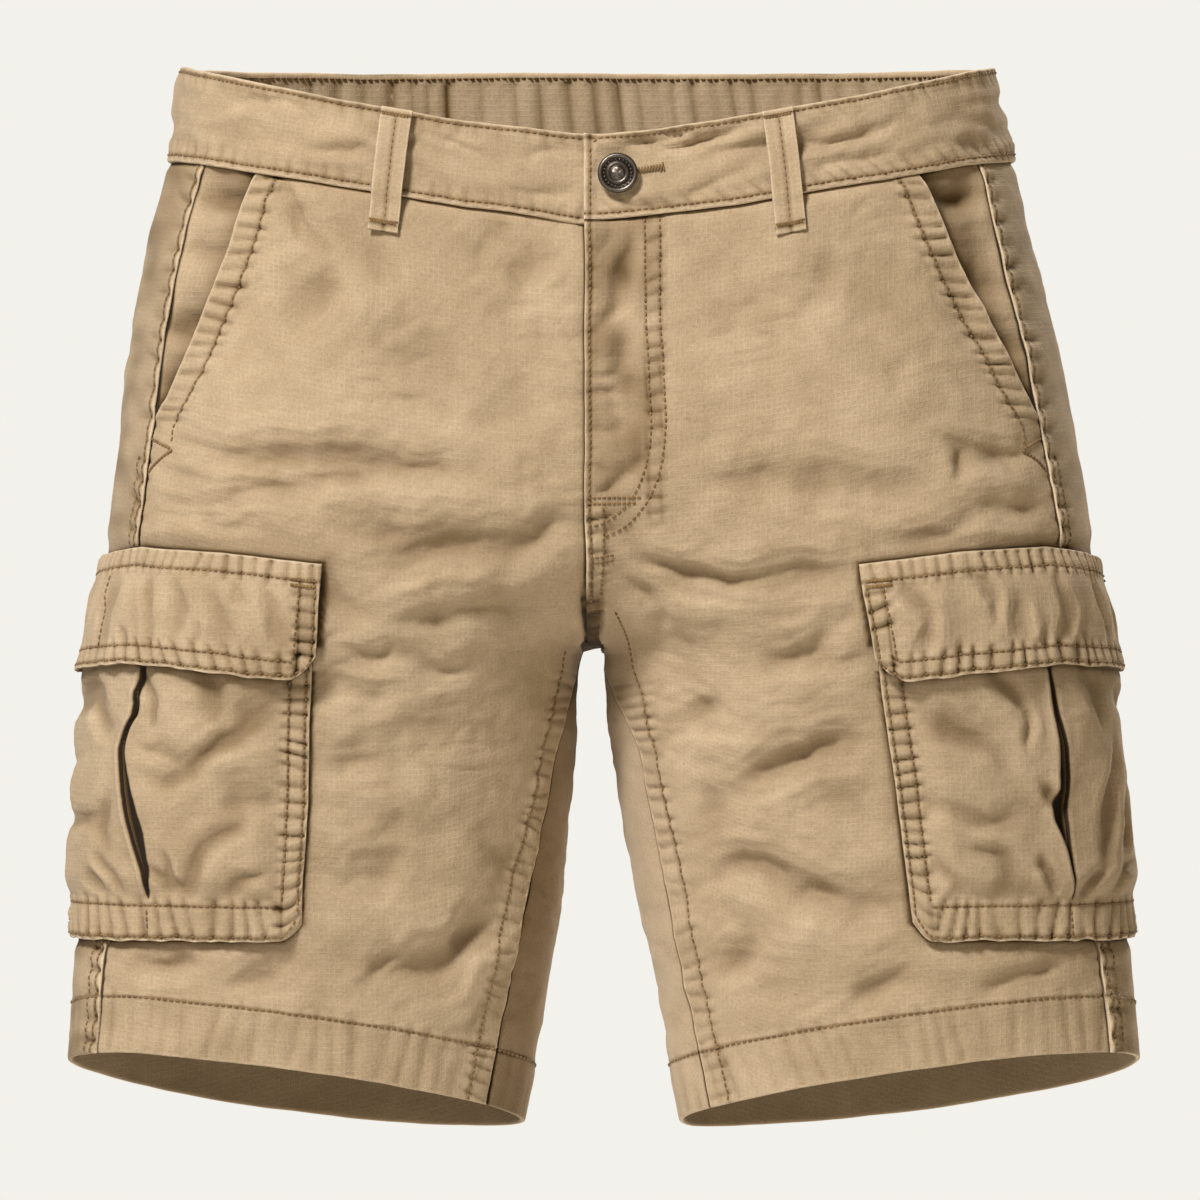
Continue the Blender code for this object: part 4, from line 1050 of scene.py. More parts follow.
    def sew_all(self, sheet):
        side, v, reach = self.side, self.v, self.reach
        seed = 200 + 10 * side + 3 * self.at_back
        outer_run = run_length(self.place[:, -1])[:, None] + 0 * v
        inner_run = run_length(self.place[:, 0])[:, None] + 0 * v
        hem_run = run_length(self.place[-8])[None, :] + 0 * v
        on_torso = (v <= V_FORK).astype(float)
        on_leg = 1 - on_torso
        hem_fade = smoothstep((self.from_hem - HEM_DEPTH + 2) / 3)
        if self.at_back:
            sheet.sew(self.from_outer, outer_run, (SIDE_LINE,), 4.2, 0.9, 0.46, 10.5, seed, 1.0, 1.4, fade=14.0)
            low = smoothstep((v - 4.0) / 0.2)
            sheet.sew(self.from_outer, outer_run, (SIDE_FELL,), 9.6, 0.3, 0.22, 9.0, seed + 12, low, 0.1)
            sheet.sew(reach, inner_run, (SEAM_LINE, FELL_LINE), 8.6, 0.5 if side == LEFT else 0.0, 0.3, 8.0,
                      seed + 1, on_torso, 1.0 if side == LEFT else 0.2)
            if side == RIGHT:
                sheet.tuck_under(reach, 0.9, span=on_torso)
            sheet.tuck_under(reach, 1.5, span=on_leg)
            # Painted shade on the back of each leg by the inseam, broad and patchy on the wearer's right; a broad
            # painted highlight on the wearer's left.
            if side == RIGHT:
                sheet.dark += on_leg * (0.3 * np.exp(-reach / 2.0) + 0.92 * np.exp(-reach / 45.0)
                                         + 0.35 * noise(self.place, (30, 30, 44), 96))
            else:
                sheet.dark += 0.5 * on_leg * np.exp(-reach / 2.0)
                sheet.wear_and_highlight += 0.35 * on_leg * np.exp(-reach / 60.0)
            # Painted shade on the back panels just below the fork, across their whole width, at full strength at the
            # fork.
            sheet.dark += 0.8 * on_leg * (1 - smoothstep((v - 7.2) / 0.9))
        else:
            slant = self.slant[:, None]
            sheet.sew(self.from_slant, outer_run, (SLANT_LINE,), SLANT_LINE + 1.0, 0.6, 0.52, 7.0, seed, slant)
            sheet.rise += 1.3 * slant * (1 - smoothstep(self.from_outer / 12)) * smoothstep((v - V_WAIST) / 0.6)
            sheet.tuck_under(self.from_outer, 1.5, span=1 - slant)
            # Painted shadow along the hand pocket's slant edge.
            sheet.dark += 0.9 * slant * (1 - smoothstep(self.from_outer / 0.35))
            sheet.sew(self.from_outer + 0.6, outer_run, (), 1.5, 0.0, 0.2, 9.0, seed + 2, (1 - slant) * hem_fade, 0.25)
            sheet.sew(self.from_fell, inner_run, (INSEAM_FELL,), INSEAM_FELL + 1.0, 0.5, 0.31, 6.8, seed + 1,
                      on_leg * smoothstep((v - 7.1) / 0.8))
            if side == LEFT:
                self.sew_fly(sheet, inner_run, seed)
            else:
                fly = smoothstep((V_LAP_END - v) / 0.4) * on_torso
                # Painted shadow beside the lapping edge of the fly.
                sheet.dark += 1.5 * fly * (1 - smoothstep((reach - FLY_LAP - 0.1) / 1.1))
                sheet.rise -= 0.8 * fly * (1 - smoothstep((reach - FLY_LAP) / 4.5))
                sheet.tuck_under(reach, 1.3, span=on_torso * smoothstep((v - V_FLY_END + 0.4) / 0.3))
        sheet.sew(self.from_hem, hem_run, (HEM_DEPTH,), HEM_DEPTH + 1.0, 0.5, 0.22, 9.5, seed + 6, 1.0, 0.8)
        phase = hem_run / 12.0 + 1.3 * line_noise(hem_run, 26, seed + 8) + 0.03 * self.from_hem
        drag = (0.5 + 0.5 * np.cos(2 * math.pi * phase)) ** 2
        within = smoothstep(self.from_hem / 5) * smoothstep((HEM_DEPTH - self.from_hem) / 7)
        patch = np.clip(0.5 + 0.9 * line_noise(hem_run, 34.0, seed + 9), 0, 1)
        sheet.rise -= 0.34 * drag * within * patch

    def sew_fly(self, sheet, inner_run, seed):
        v, reach = self.v, self.reach
        on_torso = (v <= V_FORK).astype(float)
        lift = FLY_LIFT * smoothstep((V_LAP_END - v) / 0.8)
        sheet.rise += on_torso * lift * (1 - smoothstep((reach - 3.0) / 9.0))
        sheet.sew(self.from_inner, inner_run, (FLY_LINE,), 3.6, 0.25, 0.16, 8.0, seed + 4, on_torso, 1.3)
        strip = smoothstep((v - 4.42) / 0.05) * on_torso
        sheet.sew(self.from_inner, inner_run, (FLY_FELL,), 9.2, 0.3, 0.36, 6.5, seed + 5, strip, 0.3)
        # Painted shade over the fly, uneven.
        shaded = (1 - smoothstep((reach - 25) / 10)) * smoothstep((4.9 - v) / 0.6) * on_torso
        sheet.dark += shaded * np.clip(0.48 + 0.75 * noise(self.place, (14, 30, 22), 87), 0, 1.2)
        sheet.rise += shaded * 1.4 * noise(self.place, (8, 30, 26), 88)
        for place in FLY_LINES:
            # Grooves of the J stitching, with painted shade in them.
            groove = np.exp(-(((reach - place - 1.2 * smoothstep((v - 2.6) / 1.6)) / 0.8) ** 2))
            groove = groove * smoothstep((4.75 - v) / 0.15)
            sheet.rise -= 0.3 * groove
            sheet.dark += 0.5 * groove
        high = smoothstep((4.9 - v) / 0.3)
        sheet.sew(reach - FLY_LINES[0], inner_run, (), 6.6, 0.3, 0.36, 7.5, seed + 11, high * on_torso, 0.0)


FLY_LINES = (22.8, 29.3)
# The J of the fly's stitching: heights and distances from the centre seam, of its inner and outer line.
FLY_CURVE = (
    ((-50.7, 22.8), (-78.9, 22.4), (-110, 23.6), (-131.4, 24.6), (-148.2, 25.1), (-162.7, 22.4), (-174.2, 17.1),
     (-180.8, 11.4), (-185.2, 4.8), (-187.0, -1.9)),
    ((-50.7, 29.5), (-89.9, 29.0), (-112, 30.2), (-131.4, 31.2), (-142.4, 31.7), (-159.6, 29.9), (-172.9, 25.5),
     (-182.1, 19.3), (-188.3, 12.7), (-191.4, 4.8)),
)
# Bar tacks of the fly: height, and distances from the centre seam where they start and end.
FLY_TACKS = ((-174.4, -2.6, 22.4), (-176.8, -2.6, 20.8), (-199.8, -2.2, 9.4), (-202.2, -2.2, 9.4))


# Bar tacks at the lower end of a hand pocket: heights, and distances from the side seam.
SLANT_TACKS = (
    ((-148.0, 0.8), (-150.0, 7.0), (-152.5, 14.5)),
    ((-153.0, 15.0), (-155.5, 10.5), (-159.5, 5.0), (-163.5, 1.0)),
)


def stitch_panel(sheet, panel, thread):
    rows = np.arange(len(panel.levels), dtype=float)
    levels = panel.levels
    reach, from_outer = panel.reach, panel.from_outer
    torso = levels <= V_FORK - 0.03
    below_band = levels > V_WAIST + 0.02

    def down_line(distances, wanted, mask):
        columns = column_at(distances, wanted)
        thread.run(*sheet.at(rows[mask], columns[mask]))

    outward = -from_outer
    if panel.at_back:
        down_line(outward, -SIDE_LINE, below_band)
        down_line(outward, -SIDE_FELL, levels > 4.05)
        for line in (SEAM_LINE, FELL_LINE):
            down_line(reach, line, below_band & torso)
    else:
        slanted = (panel.place[:, -4, 2] > SLANT[-1][0] - 3.0) & below_band
        down_line(-panel.from_slant, -SLANT_LINE, slanted)
        for line in SLANT_TACKS:
            heights, across = smooth_line(line, 6).T
            total = (panel.reach + panel.from_outer)[:, :1]
            spans = np.interp(-heights, -panel.place[:, -8, 2], total[:, 0])
            points, normals = find_on(sheet, panel, heights, spans - across)
            thread.run(points, normals, pitch=1.9, length=2.3, radius=0.75)
        down_line(panel.from_fell, INSEAM_FELL, levels > (6.0 if panel.side == LEFT else 6.95))
        if panel.side == LEFT:
            down_line(panel.from_inner, FLY_LINE, below_band & (levels < V_FLY_END + 0.1))
            down_line(panel.from_inner, FLY_FELL, (levels > 4.45) & (levels < V_FLY_END))
            for curve in FLY_CURVE:
                path = smooth_line(curve, 8)
                thread.run(*find_on(sheet, panel, path[:, 0], path[:, 1]))
            for height, first, last in FLY_TACKS:
                across = np.linspace(first, last, 14)
                thread.run(*find_on(sheet, panel, np.full(14, height), across), pitch=2.2, length=2.3)
    hem_rows = row_at(-panel.from_hem, -HEM_DEPTH)
    columns = np.arange(reach.shape[1], dtype=float)
    inside = (panel.reach[-12] > 0.6) & (panel.from_outer[-12] > 0.6)
    thread.run(*sheet.at(hem_rows[inside], columns[inside]))


def find_on(sheet, panel, heights, across):
    """Points on a panel at heights and distances from its centre seam."""
    rows = np.interp(-np.asarray(heights, float), -panel.place[:, 3, 2], np.arange(len(panel.levels), dtype=float))
    columns = np.zeros(len(rows))
    for _ in range(4):
        distance = bilinear(panel.reach[..., None], rows[:, None], np.arange(panel.reach.shape[1])[None, :])[..., 0]
        columns = np.array([np.interp(a, d, np.arange(len(d))) for a, d in zip(across, distance)])
        height = bilinear(panel.place, np.arange(len(panel.levels))[None, :], columns[:, None])[..., 2]
        rows = np.array([np.interp(-h, -line, np.arange(len(line))) for h, line in zip(heights, height)])
    return sheet.at(rows, columns)


# ---------------------------------------------------------------- hand pocket facings


def facing_sheet(side):
    levels = np.linspace(V_WAIST - 0.03, V_WAIST + 3.1, 84)
    sides_out, places = [], []
    for v in levels:
        edge = float(slant_edge(side, v))
        span = ring_span(side, v, 60.0, edge)
        total = ring_span(side, v, 60.0, SIDE_SEAM_DEG)
        start = span - FACING_UNDER
        distances = spread(total + TUCK - start, 26) + start
        places.append(lay_ring(side, v, 60.0, SIDE_SEAM_DEG, distances)[1])
        sides_out.append(total - distances)
    angles, from_outer = np.array(places), np.array(sides_out)
    v = np.repeat(levels[:, None], angles.shape[1], axis=1)
    place, normal = body_point(side, v, angles), body_normal(side, v, angles)
    word = "left" if side == LEFT else "right"
    grain = np.stack([from_outer, -place[..., 2]], -1)
    edge = np.minimum(from_outer + TUCK, from_outer[:, :1] - from_outer)
    sheet = Sheet(f"hand_pocket_facing_{word}", place, normal, FACING_WALL, grain, np.clip(edge, 0, None))
    near_seam = smoothstep((14 - from_outer) / 14)
    near_band = 1 - smoothstep((v - V_WAIST) / 0.22)
    gape = smoothstep((v - V_WAIST) / 0.5) * smoothstep((V_WAIST + 3.2 - v) / 0.8) * (1 - near_seam)
    sheet.rise = relief(place, angles, v) - FACING_DEPTH * (1 - 0.8 * near_seam) - 0.4 * near_band - 2.2 * gape
    creases = crease_relief(place[..., 0], place[..., 2], FACING_CREASES, 460)
    sheet.rise += creases * smoothstep(from_outer / 7)
    sheet.shade_own(creases)
    past_slant = from_outer[:, :1] - from_outer - FACING_UNDER
    # Painted shade where the facing gapes, and painted shadow beside the slant edge.
    sheet.dark += ((0.72 if side == LEFT else 0.30) * gape + 1.1 * np.exp(-((past_slant / 1.6) ** 2))
                   + 0.75 * np.exp(-((past_slant / 8.0) ** 2)))
    # Painted shade, darker towards the bottom of the facing and at its top by the waistband.
    sheet.dark += 0.7 * smoothstep((v - V_WAIST - 1.5) / 1.2) + 1.4 * smoothstep((v - V_WAIST - 2.35) / 0.5)
    sheet.dark += 0.7 * (1 - smoothstep((v - V_WAIST) / 0.3))
    sheet.rise += 0.7 * noise(place, (60, 40, 24), 61 + side)
    # Painted shade along the top edge and along the edge at the side seam.
    sheet.dark += 0.9 * (1 - smoothstep((v - V_WAIST) / 0.05)) + 2.0 * (1 - smoothstep((from_outer - 0.1) / 1.2))
    return sheet


# ---------------------------------------------------------------- cargo pockets and flaps


class LegMap:
    """Ring angles and row positions round one leg at any height, from the distance to the pocket's pleat."""

    def __init__(self, side):
        self.heights = np.arange(-186.0, -384.0, -2.0)
        self.angles = np.linspace(60.0, 290.0, FINE)
        rows = np.linspace(V_WAIST, V_HEM, FINE)
        z = body_point(side, rows[:, None], self.angles[None, :])[..., 2]
        self.rows, self.across = [], []
        for height in self.heights:
            v = np.array([np.interp(-height, -z[:, k], rows) for k in range(FINE)])
            point = body_point(side, v, self.angles)
            length = run_length(point)
            reach = side * (point[:, 0] - CENTRE_X)
            front = self.angles < 180
            pleat = np.interp(pocket_fit(side, height)[0], reach[front], length[front])
            self.rows.append(v)
            self.across.append(pleat - length)
        self.rows, self.across = np.array(self.rows), np.array(self.across)

    def find(self, heights, across):
        """Ring angles and row positions at heights and distances across, positive to the front."""
        shape = np.shape(across)
        heights, across = np.ravel(np.broadcast_to(heights, shape)), np.ravel(across)
        level = np.clip((self.heights[0] - heights) / 2.0, 0, len(self.heights) - 1.001)
        low = level.astype(int)
        part = level - low
        angle, row = np.zeros(len(across)), np.zeros(len(across))
        for k, share in ((0, 1 - part), (1, part)):
            for value in np.unique(low):
                here = low == value
                line = self.across[value + k]
                spot = np.interp(-across[here], -line, np.arange(len(line), dtype=float))
                angle[here] += share[here] * np.interp(spot, np.arange(FINE), self.angles)
                row[here] += share[here] * np.interp(spot, np.arange(FINE), self.rows[value + k])
        return angle.reshape(shape), row.reshape(shape)

    def contact(self, place, angles):
        """Painted shadow on the cloth right beside a pocket or a flap that lies on it."""
        z = place[..., 2]
        level = np.clip((self.heights[0] - z) / 2.0, 0, len(self.heights) - 1.001)
        spot = (np.asarray(angles) - self.angles[0]) / (self.angles[1] - self.angles[0])
        across = bilinear(self.across[..., None], level, spot)[..., 0]
        half = pocket_fit(LEFT, z)[1]
        raised = np.clip(POCKET_CORNER - half + np.abs(across), 0, POCKET_CORNER)
        raised = raised * (0.35 + 0.6 * raised / POCKET_CORNER)
        past_pocket = np.maximum(np.abs(across) - half, POCKET_BOTTOM + raised - z)
        share = np.clip(across / half, -1, 1)
        drop = np.interp(share, *zip(*FLAP_DROP))
        past_flap = np.maximum(np.abs(across) - half - FLAP_OVER, z - FLAP_TOP + drop)
        past_flap = np.maximum(past_flap, FLAP_BOTTOM + 8 - z)
        total = 0.0
        for past in (past_pocket + 100.0 * (z > FLAP_BOTTOM - 4), past_flap):
            total = total + 1.5 * np.exp(-((np.clip(past + 0.2, 0, None) / 1.5) ** 2))
            total = total + 0.22 * np.exp(-((np.clip(past, 0, None) / 6.0) ** 2))
        known = (spot > 0) & (spot < FINE - 1) & (z < self.heights[0]) & (z > self.heights[-1])
        return np.clip(total, 0, 1.7) * known


def soft_floor(value, depth):
    """The same value, bent smoothly so that it never falls below -depth."""
    return np.where(value < 0, -depth * np.tanh(-value / depth), value)


def pocket_row(half, shift, opening):
    """Distances across one row of a pocket, close together at its edges and at both lips of the pleat."""
    lips = (0.0, 0.12, 0.35, 0.7, 1.2, 1.9, 2.8, 4.0, 5.5)
    front = shift + opening + spread(half - shift - opening, 54, start=lips)
    rear = shift - opening - spread(half + shift - opening, 54, start=lips)
    slot = shift + opening * np.array([-0.85, -0.5, 0.0, 0.5, 0.85])
    return np.concatenate((rear[::-1], slot, front))


def pocket_sheet(side, legs):
    word = "left" if side == LEFT else "right"
    heights = POCKET_TOP - spread(POCKET_TOP - POCKET_BOTTOM, 150)
    half = pocket_fit(side, heights)[1]
    table = smooth_line(PLEAT_LINE[side], 6)
    shift = np.interp(heights - POCKET_BOTTOM, table[:, 0], table[:, 1])
    opening = np.interp(heights - POCKET_BOTTOM, table[:, 0], table[:, 2])
    across = np.array([pocket_row(*row) for row in zip(half, shift, opening)])
    height = np.repeat(heights[:, None], across.shape[1], axis=1)
    half = np.repeat(half[:, None], across.shape[1], axis=1)
    angles, v = legs.find(height, across)
    place, normal = body_point(side, v, angles), body_normal(side, v, angles)
    up = height - POCKET_BOTTOM
    from_side = half - np.abs(across)
    cut = np.clip(POCKET_CORNER - from_side, 0, None)
    cut = cut * (0.35 + 0.6 * cut / POCKET_CORNER)
    up = up - cut * np.clip(1 - up / 60, 0, 1)
    lift_corner = cut * np.clip(1 - (height - POCKET_BOTTOM) / 60, 0, 1)
    edge = np.minimum(np.minimum(from_side, height - POCKET_BOTTOM), POCKET_TOP - height)
    grain = np.stack([across, -height], -1)
    sheet = Sheet(f"cargo_pocket_{word}", place, normal, POCKET_WALL, grain, np.clip(edge, 0, None))
    sheet.shift = np.stack([0 * cut, 0 * cut, lift_corner], -1)
    near_edge = np.minimum(from_side - 9.5, height - POCKET_BOTTOM - 16.5)
    full = 0.2 * smoothstep(np.minimum(from_side, height - POCKET_BOTTOM) / 2.5) + 0.95 * smoothstep(near_edge / 14)
    full *= POCKET_RISE * smoothstep((FLAP_TOP - 2 - height) / 62)
    rear = np.exp(-(((angles - 184) / 16) ** 2))
    full *= 1 - 0.3 * rear * smoothstep((height + 330) / 40)
    shift, opening = shift[:, None] + 0 * across, opening[:, None] + 0 * across
    to_pleat = across - shift
    above_foot = smoothstep((height - POCKET_BOTTOM - 18) / 4)
    slot = 1 - smoothstep((np.abs(to_pleat) / opening - 0.83) / 0.17)
    lip = np.clip(np.abs(to_pleat) - opening, 0, None)
    over = np.where(to_pleat * side > 0, 1.0, 0.0)
    roll = (0.5 + 1.0 * over) * np.exp(-(((lip - 1.6) / 2.2) ** 2)) - (1.3 - 0.9 * over) * np.exp(-lip / 6.0)
    depth = np.minimum(2.4 + 2.6 * smoothstep(opening / 3), 0.6 + full)
    common = relief(place, angles, v)
    sheet.rise = common * (0.5 + 0.5 * smoothstep((4 - from_side) / 4)) + LAYER_GAP + POCKET_WALL + full
    own = crease_relief(across, height - POCKET_BOTTOM, POCKET_CREASES[side], 300, 1.05)
    own += 1.6 * noise(place, (26, 26, 36), 71) + 0.5 * noise(place, (12, 12, 18), 72)
    inner = smoothstep(near_edge / 6)
    own = soft_floor(own * inner, 0.6 * full + 0.5) * (1 - above_foot * slot)
    sheet.rise += own
    sheet.shade_own(1.9 * own)
    sheet.rise += above_foot * (roll * smoothstep(full / 3) - depth * slot)
    sheet.under -= 1.2 * above_foot * slot
    # Painted shade in the pleat's opening and on its lips.
    sheet.dark += above_foot * (3.2 * slot + 1.7 * np.exp(-((lip / 0.5) ** 2)) + 0.3 * np.exp(-lip / 3.0))
    flap_edge = FLAP_BOTTOM - np.interp(across / half, *zip(*FLAP_DROP))
    corner_up = 0.9 * np.clip(np.abs(across) - half + 10.0, 0, None)
    below_flap = flap_edge + corner_up - height
    # Painted shadow under the flap's lower edge.
    sheet.dark += (0.9 * np.exp(-(((below_flap - 0.5) / 1.8) ** 2))
                   + 0.3 * np.exp(-((np.clip(below_flap, 0, None) / 9.0) ** 2)))
    # Painted shade on the pocket's rim.
    sheet.dark += 1.2 * (1 - smoothstep(edge / 0.3))
    # Painted highlight along the lip that laps over.
    sheet.wear_and_highlight += above_foot * (0.25 + 0.5 * over) * np.exp(-(((lip - 1.7) / 0.7) ** 2))
    ruffle(sheet, across, up, 316 + side)
    off_corner = smoothstep((from_side + up - 9) / 12)
    sheet.sew(from_side, -height, (SEAM_LINE, POCKET_FELL), 10.2, 0.15, 0.56, 6.6, 310 + side,
              0.3 + 0.7 * off_corner)
    bottom_run = across + 400
    near = smoothstep((from_side - 9) / 2)
    sheet.sew(up, bottom_run, (SEAM_LINE,), 3.4, 0.15, 0.3, 8.0, 312 + side, 0.3 + 0.7 * off_corner)
    sheet.sew(up, bottom_run, (POCKET_FOOT,), 17.0, 0.3, 0.48, 8.0, 314 + side, near * off_corner, 0.5)
    # A groove with painted shade at the foot of the pleat.
    foot = np.exp(-((across - shift * 0.8) / 0.8) ** 2) * smoothstep((17 - up) / 1)
    sheet.rise -= 0.25 * foot
    sheet.dark += 0.35 * foot
    return sheet, {"across": across, "height": height, "from_side": from_side, "up": up, "foot": shift * 0.8}


def ruffle(sheet, across, up, seed):
    """A lower edge that is slightly frilled and frayed."""
    low = 1 - smoothstep(up / 6)
    sheet.shift[..., 2] += 0.8 * low * line_noise(across + 300, 7.5, seed)
    sheet.rise += low * (0.8 * line_noise(across + 300, 8.5, seed + 1) + 0.4 * line_noise(across + 300, 3.6, seed + 2))
    sheet.wear_and_highlight += 0.5 * (1 - smoothstep(up / 1.2)) * (0.6 + line_noise(across + 300, 2.6, seed + 3))


def stitch_pocket(sheet, known, thread):
    rows, columns = sheet.rise.shape
    all_rows = np.arange(rows, dtype=float)
    low = known["height"][:, 0] > POCKET_BOTTOM + 7
    above = known["height"][:, 0] > POCKET_BOTTOM + 16
    for sign in (-1, 1):
        half = slice(0, columns // 2) if sign < 0 else slice(columns // 2, columns)
        distances = known["from_side"][:, half]
        first = 0 if sign < 0 else columns // 2
        for line, mask in ((SEAM_LINE, low), (POCKET_FELL, above)):
            at = column_at(-sign * distances, -sign * line)
            thread.run(*sheet.at(all_rows[mask], first + at[mask]))
    columns_at = np.arange(columns, dtype=float)
    up_rows = row_at(-known["up"], -SEAM_LINE)
    thread.run(*sheet.at(up_rows[6:-6], columns_at[6:-6]))
    up_rows = row_at(-known["up"], -POCKET_FOOT)
    inside = known["from_side"][-20] > 9.0
    thread.run(*sheet.at(up_rows[inside], columns_at[inside]))
    rising = np.linspace(2.5, 16, 12)
    row = np.interp(-rising, -(known["height"][:, columns // 2] - POCKET_BOTTOM), all_rows)
    column = np.interp(known["foot"][-20, 0], known["across"][-20], columns_at)
    thread.run(*sheet.at(row, np.full(len(row), column)))


def flap_sheet(side, legs):
    word = "left" if side == LEFT else "right"
    share = spread(2.0, 170, start=tuple(s / 86 for s in EDGE_STEPS), end=tuple(s / 86 for s in EDGE_STEPS)) - 1
    down = spread(1.0, 46, start=tuple(s / 52 for s in EDGE_STEPS), end=tuple(s / 52 for s in EDGE_STEPS))
    share, down = np.meshgrid(share, down)
    drop = np.interp(share, *zip(*FLAP_DROP))
    level = FLAP_TOP - drop + (FLAP_BOTTOM - FLAP_TOP) * down
    half = pocket_fit(side, level)[1] + FLAP_OVER
    corner = np.clip((np.abs(share) - 1) * half + FLAP_CORNER, 0, None)
    rounded = FLAP_CORNER_SLOPE * corner * (0.3 + 0.7 * corner / FLAP_CORNER)
    top, bottom = FLAP_TOP - drop, FLAP_BOTTOM - drop + rounded
    height = top + (bottom - top) * down
    across = share * half
    angles, v = legs.find(height, across)
    place, normal = body_point(side, v, angles), body_normal(side, v, angles)
    from_side, from_top, up = half - np.abs(across), top - height, height - bottom
    edge = np.clip(np.minimum(np.minimum(from_side, from_top), up), 0, None)
    grain = np.stack([across + 11.0, -height], -1)
    sheet = Sheet(f"cargo_flap_{word}", place, normal, FLAP_WALL, grain, edge)
    free = smoothstep(from_top / (2.4 * FLAP_TOP_BAND))
    over_pocket = POCKET_RISE * smoothstep((half + 1.5 - np.abs(across)) / POCKET_BORDER)
    over_pocket *= smoothstep((FLAP_TOP - height) / 56)
    sheet.rise = LAYER_GAP + FLAP_WALL - 0.9 * (1 - smoothstep(from_top / 6))
    sheet.rise += over_pocket + free * (POCKET_WALL + LAYER_GAP + FLAP_CLEAR) + 1.2 * smoothstep((9 - up) / 9)
    sheet.rise += relief(place, angles, v) * (0.9 - 0.4 * free)
    own = free * (1.6 * noise(place, (20, 20, 70), 81 + side) + 0.6 * noise(place, (10, 10, 26), 83))
    own += (crease_relief(across, up, FLAP_CREASES[side], 480, 1.05) * smoothstep((from_top - 6) / 8)
            * smoothstep((up + 2) / 8))
    flank = np.exp(-(((angles - 180) / 17) ** 2))
    sheet.rise -= 2.3 * flank * smoothstep(from_top / 10)
    # Painted shade on the flap's rim.
    sheet.dark += 1.2 * (1 - smoothstep(edge / 0.3))
    own = soft_floor(own, 0.4 + free * (POCKET_WALL + FLAP_CLEAR))
    sheet.rise += own
    sheet.shade_own(1.6 * own)
    ruffle(sheet, across, up, 340 + side)
    upper = smoothstep((FLAP_TOP_BAND + 1.5 - from_top) / 1.5)
    seed = 330 + 4 * side
    sheet.sew(from_top, across + 400, (FLAP_TOP_BAND,), FLAP_TOP_BAND + 1.0, 0.35, 0.5, 6.4, seed)
    sheet.sew(from_side, -height, (SEAM_LINE, FLAP_FELL), 9.6, 0.2, 0.46, 6.8, seed + 1, 1 - upper)
    sheet.sew(up, across + 400, (SEAM_LINE, FLAP_FELL), 9.6, 0.3, 0.52, 7.0, seed + 2,
              1 - 0.8 * smoothstep((9 - from_side) / 2))
    return sheet, {"side": side, "across": across, "height": height, "share": share, "from_top": from_top,
                   "half": half}


def stitch_flap(sheet, known, thread):
    rows, columns = sheet.rise.shape
    columns_at = np.arange(columns, dtype=float)
    rows_at = np.arange(rows, dtype=float)

    def trace(path, pitch=STITCH_PITCH, radius=STITCH_RADIUS):
        """Stitches along a line of points given as (distance across, height)."""
        across, height = np.asarray(path, float).T
        row = np.full(len(across), rows / 2)
        for _ in range(4):
            lines = bilinear(known["across"][..., None], row[:, None], columns_at[None, :])[..., 0]
            column = np.array([np.interp(a, line, columns_at) for a, line in zip(across, lines)])
            lines = bilinear(known["height"][..., None], rows_at[None, :], column[:, None])[..., 0]
            row = np.array([np.interp(-h, -line, rows_at) for h, line in zip(height, lines)])
        thread.run(*sheet.at(row, column), pitch=pitch, radius=radius)

    top_rows = row_at(known["from_top"], FLAP_TOP_BAND)
    thread.run(*sheet.at(top_rows[4:-4], columns_at[4:-4]))
    for inset in (SEAM_LINE, FLAP_FELL):
        share = np.linspace(-1, 1, 120)
        drop = np.interp(share, *zip(*FLAP_DROP))
        half = np.interp(share, known["share"][-1], known["half"][-1])
        across = share * half
        keep = np.abs(across) <= half - inset
        corner = np.clip(np.abs(across) - (half - FLAP_CORNER + 0.42 * inset), 0, None)
        height = FLAP_BOTTOM - drop + inset + FLAP_CORNER_SLOPE * corner * (0.3 + 0.7 * corner / FLAP_CORNER)
        lower = np.stack([across[keep], height[keep]], -1)
        sides = []
        for end in (0, -1):
            start = lower[end]
            reach_top = FLAP_TOP - np.interp(math.copysign(1, start[0]), *zip(*FLAP_DROP)) - FLAP_TOP_BAND
            rise = np.linspace(start[1], reach_top, 24)[1:]
            widen = (half[0] if end == 0 else half[-1]) - inset
            top_half = known["half"][8, 0] - inset
            share_up = (rise - start[1]) / (reach_top - start[1])
            xs = math.copysign(1, start[0]) * (abs(start[0]) + (top_half - widen) * share_up)
            sides.append(np.stack([xs, rise], -1))
        trace(np.concatenate([sides[0][::-1], lower, sides[1]]))
    # The wearer's right flap alone has one more line of stitching.
    if known["side"] == RIGHT:
        rise = np.linspace(FLAP_BOTTOM + 7.0, FLAP_TOP - FLAP_TOP_BAND - 3, 16)
        trace(np.stack([np.full(16, -24.0), rise], -1))
    for sign in (-1, 1):
        for shift in (0.0, 2.2):
            end = known["half"][8, 0]
            line = np.linspace(end - 14, end - 2.0, 8) * sign
            drop = np.interp(np.abs(line) / end * sign, *zip(*FLAP_DROP))
            trace(np.stack([line, FLAP_TOP - drop - FLAP_TOP_BAND - shift], -1), 1.7, 0.8)


# ---------------------------------------------------------------- waistband, belt loops and button


def band_ring(v):
    """One ring of the waistband, from the centre front round the wearer's right, back and left."""
    cut = float(centre_or_inseam(LEFT, v))
    right_half = np.linspace(cut, 360 - cut, FINE + 1)
    left_half = right_half[::-1][1:]
    points = np.concatenate([body_point(RIGHT, v, right_half), body_point(LEFT, v, left_half)])
    normals = np.concatenate([body_normal(RIGHT, v, right_half), body_normal(LEFT, v, left_half)])
    points = np.vstack([points, points[:1]])
    normals = np.vstack([normals, normals[:1]])
    return points, normals, run_length(points)


